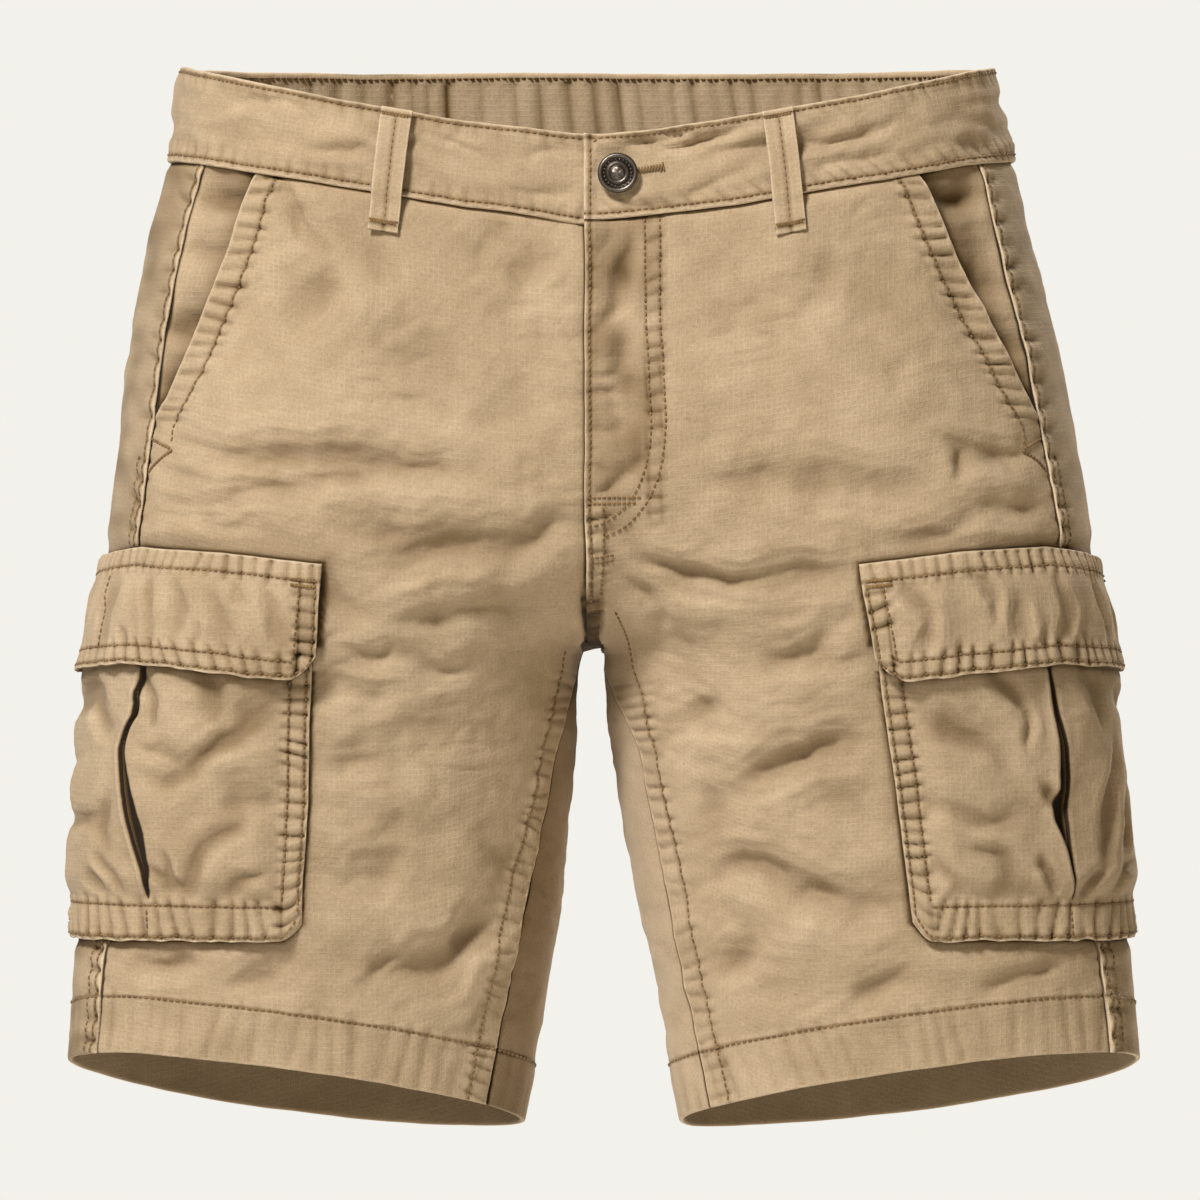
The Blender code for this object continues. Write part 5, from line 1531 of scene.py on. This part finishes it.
def waistband_sheet():
    levels = np.interp(spread(BAND_HEIGHT, 26), [0, BAND_HEIGHT], [V_BAND_TOP, V_WAIST + 0.02])
    points, normals, lengths, totals = [], [], [], []
    for v in levels:
        ring_points, ring_normals, total = band_ring(v)
        along = spread(total[-1] + LAP_UNDER + LAP_OVER, 860) - LAP_UNDER
        at = along % total[-1]
        points.append(np.stack([np.interp(at, total, ring_points[:, k]) for k in range(3)], -1))
        normals.append(np.stack([np.interp(at, total, ring_normals[:, k]) for k in range(3)], -1))
        lengths.append(along)
        totals.append(total[-1])
    place, normal, along = np.array(points), np.array(normals), np.array(lengths)
    normal /= np.linalg.norm(normal, axis=-1, keepdims=True)
    from_end = (np.array(totals)[:, None] + LAP_OVER) - along
    drop = run_length(place[:, 200])[:, None] + 0 * along
    up = drop[-1:] - drop
    edge = np.minimum(np.minimum(drop, up), np.minimum(from_end, along + LAP_UNDER))
    grain = np.stack([along[:1] + 0 * along, drop], -1)
    sheet = Sheet("waistband", place, normal, BAND_WALL, grain, np.clip(edge, 0, None))
    dip = (BAND_WALL + LAYER_GAP) * (1 - smoothstep((along - LAP_OVER) / LAP_SLOPE))
    sheet.rise = BAND_PROUD - dip
    bent = place + 8 * np.stack([noise(place, 40, seed) for seed in (31, 32, 33)], -1)
    hold = smoothstep((up + 0.5) / 9) * smoothstep((along - 2.0) / 10)
    leaning = bent + np.stack([2.2 * place[..., 2], 0 * drop, 0 * drop], -1) * np.sign(place[..., :1] - CENTRE_X) * -1
    lumps = 1.3 * noise(bent, (60, 60, 24), 34) + 1.9 * noise(leaning, (26, 26, 13), 35)
    lumps *= 0.25 + 0.75 * hold
    sheet.rise += lumps
    folds = np.clip(1 - 2.6 * np.abs(noise(bent, (20, 20, 11), 37)), 0, 1) ** 2
    sheet.rise += 0.3 * noise(place, (8, 8, 8), 36) - 0.5 * folds * smoothstep(0.3 + 1.6 * noise(place, 40, 38))
    # Painted shade where the band's face lies lower.
    sheet.dark += 0.2 * np.clip(BAND_PROUD - dip - sheet.rise, 0, 3)
    front = smoothstep((-place[..., 1] - 30) / 30)
    sheet.rise += front * crease_relief(place[..., 0], place[..., 2], BAND_CREASES, 360)
    sheet.sew(drop, along + 400, (SEAM_LINE,), 3.0, 0.1, 0.24, 9.0, 371, fade=9.0)
    sheet.sew(up, along + 400, (BAND_FOOT_LINE,), 4.0, 0.2, 0.30, 8.0, 372, 1.0, 1.3, fade=9.0)
    sheet.sew(from_end, drop, (BAND_END_LINE,), 3.6, 0.25, 0.12, 9.0, 373, 1.0, 1.0)
    around = along * (totals[0] / np.array(totals))[:, None]
    wave = around / 10.0 + 0.9 * line_noise(around, 24, 374)
    wave = (1.12 - np.sqrt(np.sin(math.pi * wave) ** 2 + 0.015)).clip(0) ** 2.5
    wave *= np.clip(0.6 + 1.1 * line_noise(around, 17, 375), 0.1, 1.15)
    rear = smoothstep((place[..., 1] - 10) / 40)
    within = rear * smoothstep((drop - 2.4) / 2.5) * smoothstep((up - 3) / 4)
    sheet.under += 1.7 * np.tanh(1.5 * within * wave) - rear * lumps
    # Painted shade in the folds inside the back of the band and along its inner top stitching.
    sheet.under_dark += 1.5 * within * wave + 0.1 * np.exp(-(((drop - SEAM_LINE) / 0.9) ** 2))
    sheet.shift[..., 2] -= 1.6 * dip / (BAND_WALL + LAYER_GAP) * drop / BAND_HEIGHT
    # No painted shade of insides on the waistband's inner face.
    sheet.inside = 0.0
    sheet.shift[..., 2] += 1.5 * rear * (1 - drop / BAND_HEIGHT)
    return sheet, {"along": along, "drop": drop, "up": up, "from_end": from_end}


BAND_CREASES = (
    (((12, 2), (34, 1), (56, 8), (80, 12)), 0.0, 5.0),
    (((16, -18), (34, -20), (52, -14), (64, -10)), 1.5, 2.4),
    (((30, -26), (60, -19), (90, -20), (118, -12), (140, -3)), 1.5, 3.0),
    (((12, -21), (20, -17), (32, -15)), 1.2, 1.8),
    (((40, -40), (56, -32), (66, -30)), 1.2, 2.2),
    (((22, -10), (30, -15), (38, -14)), 1.0, 1.8),
    (((96, -30), (116, -24), (132, -22)), 1.2, 2.6),
    (((10, -41), (20, -46), (34, -46)), 1.0, 2.2),
    (((-10, -26), (-18, -22), (-34, -24)), 1.0, 2.2),
    (((-12, -36), (-26, -40), (-44, -37)), 1.0, 2.4),
    (((-50, -24), (-72, -14), (-84, -16)), 1.2, 2.8),
    (((-100, -14), (-116, -22), (-134, -18)), 1.1, 2.8),
    (((-124, -8), (-144, 2), (-164, 0)), 1.1, 3.0),
)


def stitch_waistband(sheet, known, thread):
    columns = known["along"].shape[1]
    at = np.arange(columns, dtype=float)
    rows = np.arange(known["along"].shape[0], dtype=float)
    shown = known["along"][0] > LAP_OVER
    end = known["from_end"][0]
    chamfer = np.clip(6.5 - end, 0, 3.8)
    thread.run(*sheet.at(row_at(known["drop"], SEAM_LINE + chamfer)[shown & (end > 2.6)], at[shown & (end > 2.6)]))
    thread.run(*sheet.at(row_at(-known["up"], -BAND_FOOT_LINE)[shown & (end > 2.6)], at[shown & (end > 2.6)]))
    rear = sheet.place[0, :, 1] > 10
    points, normals = sheet.behind(row_at(known["drop"], SEAM_LINE)[rear], at[rear])
    thread.run(points + 0.35 * normals, normals, radius=0.42)
    middle = (known["drop"][:, 0] > SEAM_LINE + 3.4) & (known["up"][:, 0] > 3.6)
    thread.run(*sheet.at(rows[middle], column_at(-known["from_end"], -BAND_END_LINE)[middle]))
    buttonhole(sheet, known, thread)


def buttonhole(sheet, known, thread):
    """Close zigzag stitches round the slit beside the button, with a bar at its far end."""
    rows = np.arange(known["drop"].shape[0], dtype=float)
    columns = np.arange(known["along"].shape[1], dtype=float)
    total = known["along"][10] + known["from_end"][10]
    middle_drop, first, last = 20.0, 16.0, 35.0
    for k in range(30):
        away = first + (last - first) * k / 29
        reach = 2.5 if k > 27 else 1.7
        lean = 0.5 * (-1) ** k
        drops = middle_drop + np.linspace(-reach, reach, 5) - 0.05 * (away - first)
        lengths = total[0] - away + lean * np.linspace(-1, 1, 5)
        lengths = np.interp(lengths, known["along"][10], columns)
        points, normals = sheet.at(np.interp(drops, known["drop"][:, 0], rows), lengths)
        thread.tubes(points[None], normals[None], 0.40 * np.array([0.6, 1, 1, 1, 0.6]),
                     np.array([0.0, 0.5, 0.35, 0.5, 0.0]))


def loop_sheet(name, x, at_back, lean):
    widths = spread(LOOP_WIDTH, 7, start=EDGE_STEPS[:6], end=EDGE_STEPS[:6]) - LOOP_WIDTH / 2
    downs = spread(LOOP_LENGTH, 38, start=EDGE_STEPS[:6], end=EDGE_STEPS[:6])
    across, drop = np.meshgrid(widths, downs)
    share = drop / LOOP_LENGTH
    wander = 0.5 * line_noise(drop, 24.0, int(abs(x)))
    place, normal = on_band(x - lean * (share - 0.5) + across + wander, at_back, drop)
    edge = np.minimum(LOOP_WIDTH / 2 - np.abs(across), np.minimum(drop, LOOP_LENGTH - drop))
    sheet = Sheet(name, place, normal, LOOP_WALL, np.stack([across, drop], -1), np.clip(edge, 0, None))
    bulge = np.sin(np.pi * np.clip(share, 0, 1)) ** LOOP_ROUNDNESS
    base = BAND_PROUD * (1 - smoothstep((drop - BAND_HEIGHT + 2) / 4)) + LAYER_GAP + LOOP_WALL
    sheet.rise = base + LOOP_RISE * bulge - 0.5
    sheet.rise += 0.25 * noise(np.stack([across, drop, 0 * drop + x], -1), (9, 14, 10), 401)
    sheet.sew(LOOP_WIDTH / 2 - np.abs(across), drop, (), 2.0, 0.3, 0.0, 9.0, 402)
    # Painted shade on the loop's rim.
    sheet.dark += 1.2 * (1 - smoothstep(edge / 0.25))
    sheet.sew(drop, across + 60, (2.6,), 3.2, 0.35, 0.1, 9.0, 403)
    sheet.sew(LOOP_LENGTH - drop, across + 60, (3.2,), 3.6, 0.35, 0.1, 9.0, 404)
    # A middle groove, with painted shade in it.
    groove = np.exp(-((across / 0.8) ** 2)) * smoothstep((drop - 3) / 1)
    sheet.rise -= 0.25 * groove
    sheet.dark += 0.8 * groove
    return sheet, {"across": across, "drop": drop}


def on_band(x, at_back, drop):
    """Points of the body and normals at X, a drop below the top edge of the waistband."""
    shape = x.shape
    x, drop = np.ravel(x), np.ravel(drop)
    rows = np.linspace(V_BAND_TOP, V_WAIST + 1, 60)
    place, normal = np.zeros((len(x), 3)), np.zeros((len(x), 3))
    for side in (LEFT, RIGHT):
        here = (x < CENTRE_X) if side == RIGHT else (x >= CENTRE_X)
        if not here.any():
            continue
        angles = np.linspace(182, 279, FINE) if at_back else np.linspace(178, 81, FINE)
        grid = body_point(side, rows[:, None], angles[None, :])
        order = 1 if grid[0, -1, 0] > grid[0, 0, 0] else -1
        at_x = np.array([np.interp(order * x[here], order * line[:, 0], angles) for line in grid])
        heights = body_point(side, rows[:, None], at_x)[..., 2]
        v = np.array([np.interp(d - h[0], -h, rows) for d, h in zip(drop[here], heights.T)])
        angle = np.array([np.interp(r, rows, line) for r, line in zip(v, at_x.T)])
        place[here], normal[here] = body_point(side, v, angle), body_normal(side, v, angle)
    return place.reshape(shape + (3,)), normal.reshape(shape + (3,))


def stitch_loop(sheet, known, thread):
    rows = np.arange(known["drop"].shape[0], dtype=float)
    columns = np.arange(known["across"].shape[1], dtype=float)
    middle = np.interp(0.0, known["across"][0], columns)
    shown = (known["drop"][:, 0] > 3.0) & (known["drop"][:, 0] < LOOP_LENGTH - 4)
    thread.run(*sheet.at(rows[shown], np.full(shown.sum(), middle)), pitch=3.0, length=2.2, radius=0.28)
    for drop, wide in ((3.0, 0.4), (LOOP_LENGTH - 4.2, 0.45)):
        row = np.interp(drop, known["drop"][:, 0], rows)
        for shift in (-0.35, 0.0, 0.35):
            points, normals = sheet.at(np.full(9, row + shift), np.linspace(1, len(columns) - 2, 9))
            thread.run(points, normals, pitch=1.5, length=1.7, radius=wide, start=shift + 0.4)


def button_object(finish):
    """A generic jeans button: a dome of four low lobes inside a beaded and fluted ring, on a short shank."""
    head = BUTTON_HEAD
    profile = [
        (0.0, head + 0.15), (1.2, head + 0.12), (2.2, head - 0.02), (2.9, head - 0.3), (3.15, head - 0.62),
        (3.5, head - 0.72), (3.9, head - 0.42), (4.3, head - 0.34), (4.7, head - 0.45), (5.0, head - 0.8),
        (5.5, head - 0.86), (6.7, head - 0.80), (7.0, head - 0.42), (7.5, head + 0.02), (8.0, head + 0.02),
        (8.5, head - 0.25), (8.82, head - 0.75), (8.9, head - 1.3), (8.7, head - 1.9), (8.0, 0.35), (7.0, 0.1),
        (3.4, 0.0), (3.0, -0.4), (3.0, -1.5), (0.0, -1.5),
    ]
    around = 96
    points, faces = [], []
    for radius, height in profile:
        for k in range(around):
            turn = 2 * math.pi * k / around
            flute = 0.10 * math.cos(24 * turn) * math.exp(-(((radius - 6.1) / 0.7) ** 2))
            petal = 0.16 * math.cos(4 * turn) * math.exp(-(((radius - 1.9) / 0.8) ** 2))
            points.append((radius * math.cos(turn), radius * math.sin(turn), height + flute + petal))
    for ring in range(len(profile) - 1):
        for k in range(around):
            a, b = ring * around + k, ring * around + (k + 1) % around
            faces.append((a, a + around, b + around, b))
    beads = 22
    for k in range(beads):
        turn = 2 * math.pi * k / beads
        dome(points, faces, (6.05 * math.cos(turn), 6.05 * math.sin(turn), head - 0.78), 0.55)
    mesh = bpy.data.meshes.new("jeans_button")
    mesh.from_pydata([tuple(c * MM for c in point) for point in points], [], faces)
    obj = add_object("jeans_button", mesh, finish)
    place, normal = button_place()
    obj.location = [c * MM for c in place]
    obj.rotation_euler = Vector(normal).to_track_quat("Z", "Y").to_euler()
    return obj


def dome(points, faces, centre, radius, rings=4, around=10):
    first = len(points)
    for ring in range(rings):
        rise = math.pi / 2 * ring / (rings - 1)
        for k in range(around):
            turn = 2 * math.pi * k / around
            flat = radius * math.cos(rise)
            points.append((centre[0] + flat * math.cos(turn), centre[1] + flat * math.sin(turn),
                           centre[2] + radius * math.sin(rise)))
    for ring in range(rings - 1):
        for k in range(around):
            a, b = first + ring * around + k, first + ring * around + (k + 1) % around
            faces.append((a, b, b + around, a + around))


def button_place():
    """The foot of the button's head and the way it faces, as in the solids."""
    top = on_band(np.array([BUTTON_X]), False, np.array([0.0]))[0][0]
    place, normal = on_band(np.array([BUTTON_X]), False, np.array([top[2] - BUTTON_Z]))
    return place[0] + normal[0] * (BAND_PROUD + LAYER_GAP + 1.5), normal[0]


# ---------------------------------------------------------------- materials


class Nodes:
    """Short calls for building a node tree."""

    def __init__(self, name):
        self.material = bpy.data.materials.new(name)
        self.material.use_nodes = True
        self.tree = self.material.node_tree
        self.shader = self.tree.nodes["Principled BSDF"]

    def add(self, kind, **settings):
        node = self.tree.nodes.new(kind)
        for key, value in settings.items():
            setattr(node, key, value)
        return node

    def put(self, value, socket):
        if isinstance(value, bpy.types.NodeSocket):
            self.tree.links.new(value, socket)
        else:
            socket.default_value = value

    def math(self, operation, a, b=0.0, clamp=False):
        node = self.add("ShaderNodeMath", operation=operation, use_clamp=clamp)
        for value, socket in zip((a, b), node.inputs):
            self.put(value, socket)
        return node.outputs[0]

    def mix(self, share, a, b):
        node = self.add("ShaderNodeMix", data_type="RGBA", clamp_factor=True)
        self.put(share, node.inputs[0])
        self.put(a, node.inputs[6])
        self.put(b, node.inputs[7])
        return node.outputs[2]

    def noise(self, vector, scale, detail=2.0, rough=0.5):
        node = self.add("ShaderNodeTexNoise")
        self.put(vector, node.inputs["Vector"])
        node.inputs["Scale"].default_value = scale
        node.inputs["Detail"].default_value = detail
        node.inputs["Roughness"].default_value = rough
        return node.outputs[0]

    def stretched(self, u, v, scale_u, scale_v):
        """A place on the cloth, scaled by a different amount each way."""
        node = self.add("ShaderNodeCombineXYZ")
        self.put(self.math("MULTIPLY", u, scale_u), node.inputs[0])
        self.put(self.math("MULTIPLY", v, scale_v), node.inputs[1])
        return node.outputs[0]

    def map(self, value, low, high, to_low=0.0, to_high=1.0):
        node = self.add("ShaderNodeMapRange", clamp=True)
        for given, socket in zip((value, low, high, to_low, to_high), node.inputs):
            self.put(given, socket)
        return node.outputs[0]

    def attribute(self, name):
        return self.add("ShaderNodeAttribute", attribute_name=name).outputs["Fac"]


RIPSTOP = 2.35 * MM
THREAD_PITCH = 0.95 * MM


def cloth_material():
    """Garment-washed khaki ripstop: a fine plain weave with a raised grid and mottled dye, made paler by the sheets'
    fading and painted highlight and darker by their painted shade.
    """
    n = Nodes("khaki_ripstop")
    grain = n.add("ShaderNodeUVMap", uv_map="grain").outputs[0]
    place = n.add("ShaderNodeTexCoord").outputs["Object"]
    split = n.add("ShaderNodeSeparateXYZ")
    n.put(grain, split.inputs[0])
    wobble = n.noise(place, 220.0, 2.0)
    shift = n.math("MULTIPLY", n.math("SUBTRACT", wobble, 0.5), 0.0011)
    u = n.math("ADD", split.outputs[0], shift)
    v = n.math("SUBTRACT", split.outputs[1], shift)
    weave_u = n.math("SINE", n.math("MULTIPLY", u, 2 * math.pi / THREAD_PITCH))
    weave_v = n.math("SINE", n.math("MULTIPLY", v, 2 * math.pi / THREAD_PITCH))
    weave = n.math("MULTIPLY", weave_u, weave_v)
    grid_u = n.math("PINGPONG", u, RIPSTOP / 2)
    grid_v = n.math("PINGPONG", v, RIPSTOP / 2)
    grid = n.math("MAXIMUM", n.map(grid_u, 0.42 * MM, 0.10 * MM), n.map(grid_v, 0.42 * MM, 0.10 * MM))
    slub = n.noise(place, 900.0, 3.0, 0.7)
    threads = n.math("ADD", n.noise(n.stretched(u, v, 480.0, 1500.0), 1.0, 1.0),
                     n.noise(n.stretched(u, v, 1500.0, 480.0), 1.0, 1.0))
    fibre = n.noise(place, 2600.0, 2.0, 0.6)
    wash = n.noise(place, 14.0, 3.0, 0.55)
    mottle = n.noise(place, 60.0, 4.0, 0.6)
    wear_and_highlight, dark, inside = (n.attribute(name) for name in ("wear_and_highlight", "dark", "inside"))

    tone = n.math("ADD", n.map(wash, 0.3, 0.7, -0.10, 0.10), n.map(mottle, 0.3, 0.7, -0.07, 0.07))
    tone = n.math("ADD", tone, n.map(slub, 0.3, 0.7, -0.09, 0.09))
    tone = n.math("ADD", tone, n.map(threads, 0.75, 1.25, -0.08, 0.08))
    tone = n.math("ADD", tone, n.math("MULTIPLY", weave, 0.035))
    tone = n.math("ADD", tone, n.math("MULTIPLY", grid, n.map(mottle, 0.35, 0.65, 0.0, 0.13)))
    colour = n.mix(n.map(tone, 0.0, 0.75), KHAKI, KHAKI_PALE)
    colour = n.mix(n.map(tone, 0.0, -0.8), colour, KHAKI_DEEP)
    # Pale fading and painted highlight, patchy.
    pale_wear_and_highlight = n.math("MULTIPLY", wear_and_highlight, n.map(slub, 0.3, 0.6, 0.45, 1.0))
    colour = n.mix(n.math("MULTIPLY", pale_wear_and_highlight, 0.70, clamp=True), colour, KHAKI_PALE)
    # Painted shade: towards deep khaki, and past 1.1 towards near black.
    colour = n.mix(n.math("MULTIPLY", dark, 0.68, clamp=True), colour, KHAKI_DEEP)
    colour = n.mix(n.math("SUBTRACT", dark, 1.1, clamp=True), colour, KHAKI_BLACK)
    # Painted shade on inner faces: a share of deep khaki, less where the painted shade is already strong.
    colour = n.mix(n.math("MULTIPLY", inside, n.map(dark, 1.9, 2.6, 0.45, 0.0)), colour, KHAKI_DEEP)
    n.put(colour, n.shader.inputs["Base Color"])
    n.put(n.map(slub, 0.2, 0.8, 0.82, 0.97), n.shader.inputs["Roughness"])
    n.shader.inputs["Sheen Weight"].default_value = 0.12
    n.shader.inputs["Sheen Roughness"].default_value = 0.5
    n.shader.inputs["Sheen Tint"].default_value = (1.0, 0.93, 0.82, 1.0)
    n.shader.inputs["Specular IOR Level"].default_value = 0.25

    height = n.math("ADD", n.math("MULTIPLY", weave, 0.030), n.math("MULTIPLY", grid, 0.07))
    height = n.math("ADD", height, n.math("MULTIPLY", slub, 0.16))
    height = n.math("ADD", height, n.math("MULTIPLY", threads, 0.07))
    height = n.math("ADD", height, n.math("MULTIPLY", fibre, 0.05))
    height = n.math("ADD", height, n.math("MULTIPLY", n.noise(place, 330.0, 2.0), 0.30))
    bump = n.add("ShaderNodeBump")
    bump.inputs["Strength"].default_value = 0.8
    bump.inputs["Distance"].default_value = MM
    n.put(height, bump.inputs["Height"])
    n.put(bump.outputs[0], n.shader.inputs["Normal"])
    return n.material


def thread_material():
    """Golden brown cotton thread, twisted and a little faded."""
    n = Nodes("golden_brown_thread")
    place = n.add("ShaderNodeTexCoord").outputs["Object"]
    fade = n.noise(place, 120.0, 3.0, 0.6)
    n.put(n.mix(n.map(fade, 0.4, 0.75), THREAD, (0.30, 0.175, 0.055, 1.0)), n.shader.inputs["Base Color"])
    n.put(n.map(n.noise(place, 2600.0), 0.3, 0.7, 0.6, 0.85), n.shader.inputs["Roughness"])
    bump = n.add("ShaderNodeBump")
    bump.inputs["Strength"].default_value = 0.6
    bump.inputs["Distance"].default_value = 0.2 * MM
    n.put(n.noise(place, 3200.0), bump.inputs["Height"])
    n.put(bump.outputs[0], n.shader.inputs["Normal"])
    n.shader.inputs["Sheen Weight"].default_value = 0.2
    return n.material


def metal_material():
    """Dark antique metal, blackened in its hollows and rubbed bright on what stands up."""
    n = Nodes("antique_metal")
    place = n.add("ShaderNodeTexCoord").outputs["Object"]
    split = n.add("ShaderNodeSeparateXYZ")
    n.put(place, split.inputs[0])
    raised = n.map(split.outputs[2], (BUTTON_HEAD - 0.9) * MM, (BUTTON_HEAD + 0.1) * MM)
    patina = n.noise(place, 700.0, 4.0, 0.65)
    rubbed = n.math("MULTIPLY", raised, n.map(patina, 0.35, 0.65, 0.45, 1.0))
    n.put(n.mix(rubbed, (0.030, 0.022, 0.017, 1.0), (0.23, 0.19, 0.155, 1.0)), n.shader.inputs["Base Color"])
    n.put(n.map(patina, 0.3, 0.7, 0.50, 0.30), n.shader.inputs["Roughness"])
    n.shader.inputs["Metallic"].default_value = 0.92
    bump = n.add("ShaderNodeBump")
    bump.inputs["Strength"].default_value = 0.35
    bump.inputs["Distance"].default_value = 0.15 * MM
    n.put(patina, bump.inputs["Height"])
    n.put(bump.outputs[0], n.shader.inputs["Normal"])
    return n.material


# ---------------------------------------------------------------- studio


def studio():
    camera = bpy.data.cameras.new("camera")
    camera.lens = SENSOR * CAMERA_DISTANCE / FRAME_WIDTH
    camera.sensor_width = SENSOR
    camera_object = bpy.data.objects.new("camera", camera)
    camera_object.location = (0.0, -CAMERA_DISTANCE, CAMERA_Z)
    camera_object.rotation_euler = (math.pi / 2, 0.0, 0.0)
    bpy.context.scene.collection.objects.link(camera_object)
    bpy.context.scene.camera = camera_object

    aim = Vector((0.0, -0.05, -0.22))
    for name, place, size, power, colour in (
        ("key", (-1.68, -2.83, 2.95), 0.84, 262.0, (1.0, 1.015, 1.05)),
        ("fill", (2.2, -3.0, 0.3), 2.0, 5.0, (1.0, 0.88, 0.66)),
        ("rim", (1.4, 2.4, 1.7), 0.8, 80.0, (1.0, 0.99, 0.97)),
    ):
        light = bpy.data.lights.new(name, "AREA")
        light.shape = "SQUARE"
        light.size, light.energy, light.color = size, power, colour
        lamp = bpy.data.objects.new(name, light)
        lamp.location = place
        lamp.rotation_euler = (aim - Vector(place)).to_track_quat("-Z", "Y").to_euler()
        bpy.context.scene.collection.objects.link(lamp)

    world = bpy.data.worlds.new("studio")
    bpy.context.scene.world = world
    world.use_nodes = True
    tree = world.node_tree
    seen = tree.nodes["Background"]
    seen.inputs[0].default_value = BACKGROUND
    lit = tree.nodes.new("ShaderNodeBackground")
    lit.inputs[0].default_value = ROOM_LIGHT
    lit.inputs[1].default_value = ROOM_STRENGTH
    path, mixed = tree.nodes.new("ShaderNodeLightPath"), tree.nodes.new("ShaderNodeMixShader")
    tree.links.new(path.outputs["Is Camera Ray"], mixed.inputs[0])
    tree.links.new(lit.outputs[0], mixed.inputs[1])
    tree.links.new(seen.outputs[0], mixed.inputs[2])
    tree.links.new(mixed.outputs[0], tree.nodes["World Output"].inputs[0])
    bpy.context.scene.view_settings.view_transform = "Standard"

    n = Nodes("pale_floor")
    place = n.add("ShaderNodeTexCoord").outputs["Object"]
    n.put(n.mix(n.noise(place, 3.0), (0.80, 0.79, 0.76, 1.0), (0.84, 0.83, 0.80, 1.0)), n.shader.inputs["Base Color"])
    n.shader.inputs["Roughness"].default_value = 0.9
    around = 96
    turn = 2 * math.pi / around
    rim = [(FLOOR_RADIUS * math.cos(k * turn), FLOOR_RADIUS * math.sin(k * turn), FLOOR_Z) for k in range(around)]
    mesh = bpy.data.meshes.new("studio_floor")
    mesh.from_pydata(rim, [], [tuple(range(around))])
    add_object("studio_floor", mesh, n.material)


# ---------------------------------------------------------------- all together

# Of each kind of panel: whether it's at the back, the step between its rows in mm and its number of columns.
PANEL_GRIDS = {"front": (False, 1.05, 112), "back": (True, 1.5, 106)}


def finish_cloth(sheet, cloth, golden, thread=None):
    """The piece and its stitches as objects, hung from the root, with the solid of its name hidden."""
    obj = sheet.build(cloth)
    obj.name = sheet.name + "_cloth"
    sewing = [thread.build(golden)] if thread else []
    for piece in [obj] + sewing:
        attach(piece, "root")
    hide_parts(sheet.name)


def sewn(stitch, sheet, known):
    """The stitches of a piece, from the function that lays them."""
    thread = Thread(f"{sheet.name}_stitching")
    stitch(sheet, known, thread)
    return thread


def main():
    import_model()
    studio()
    cloth, golden, metal = cloth_material(), thread_material(), metal_material()

    sheet, known = waistband_sheet()
    finish_cloth(sheet, cloth, golden, sewn(stitch_waistband, sheet, known))
    for side, word in ((LEFT, "left"), (RIGHT, "right")):
        legs = LegMap(side)
        for kind, grid in PANEL_GRIDS.items():
            panel = Panel(side, *grid, legs)
            sheet = panel.sheet()
            finish_cloth(sheet, cloth, golden, sewn(stitch_panel, sheet, panel))
        finish_cloth(facing_sheet(side), cloth, golden)
        for kind, lay, stitch in (("pocket", pocket_sheet, stitch_pocket), ("flap", flap_sheet, stitch_flap)):
            sheet, known = lay(side, legs)
            finish_cloth(sheet, cloth, golden, sewn(stitch, sheet, known))
    for loop in LOOPS:
        sheet, known = loop_sheet(*loop)
        finish_cloth(sheet, cloth, golden, sewn(stitch_loop, sheet, known))

    button = button_object(metal)
    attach(button, "root")
    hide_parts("button")


main()
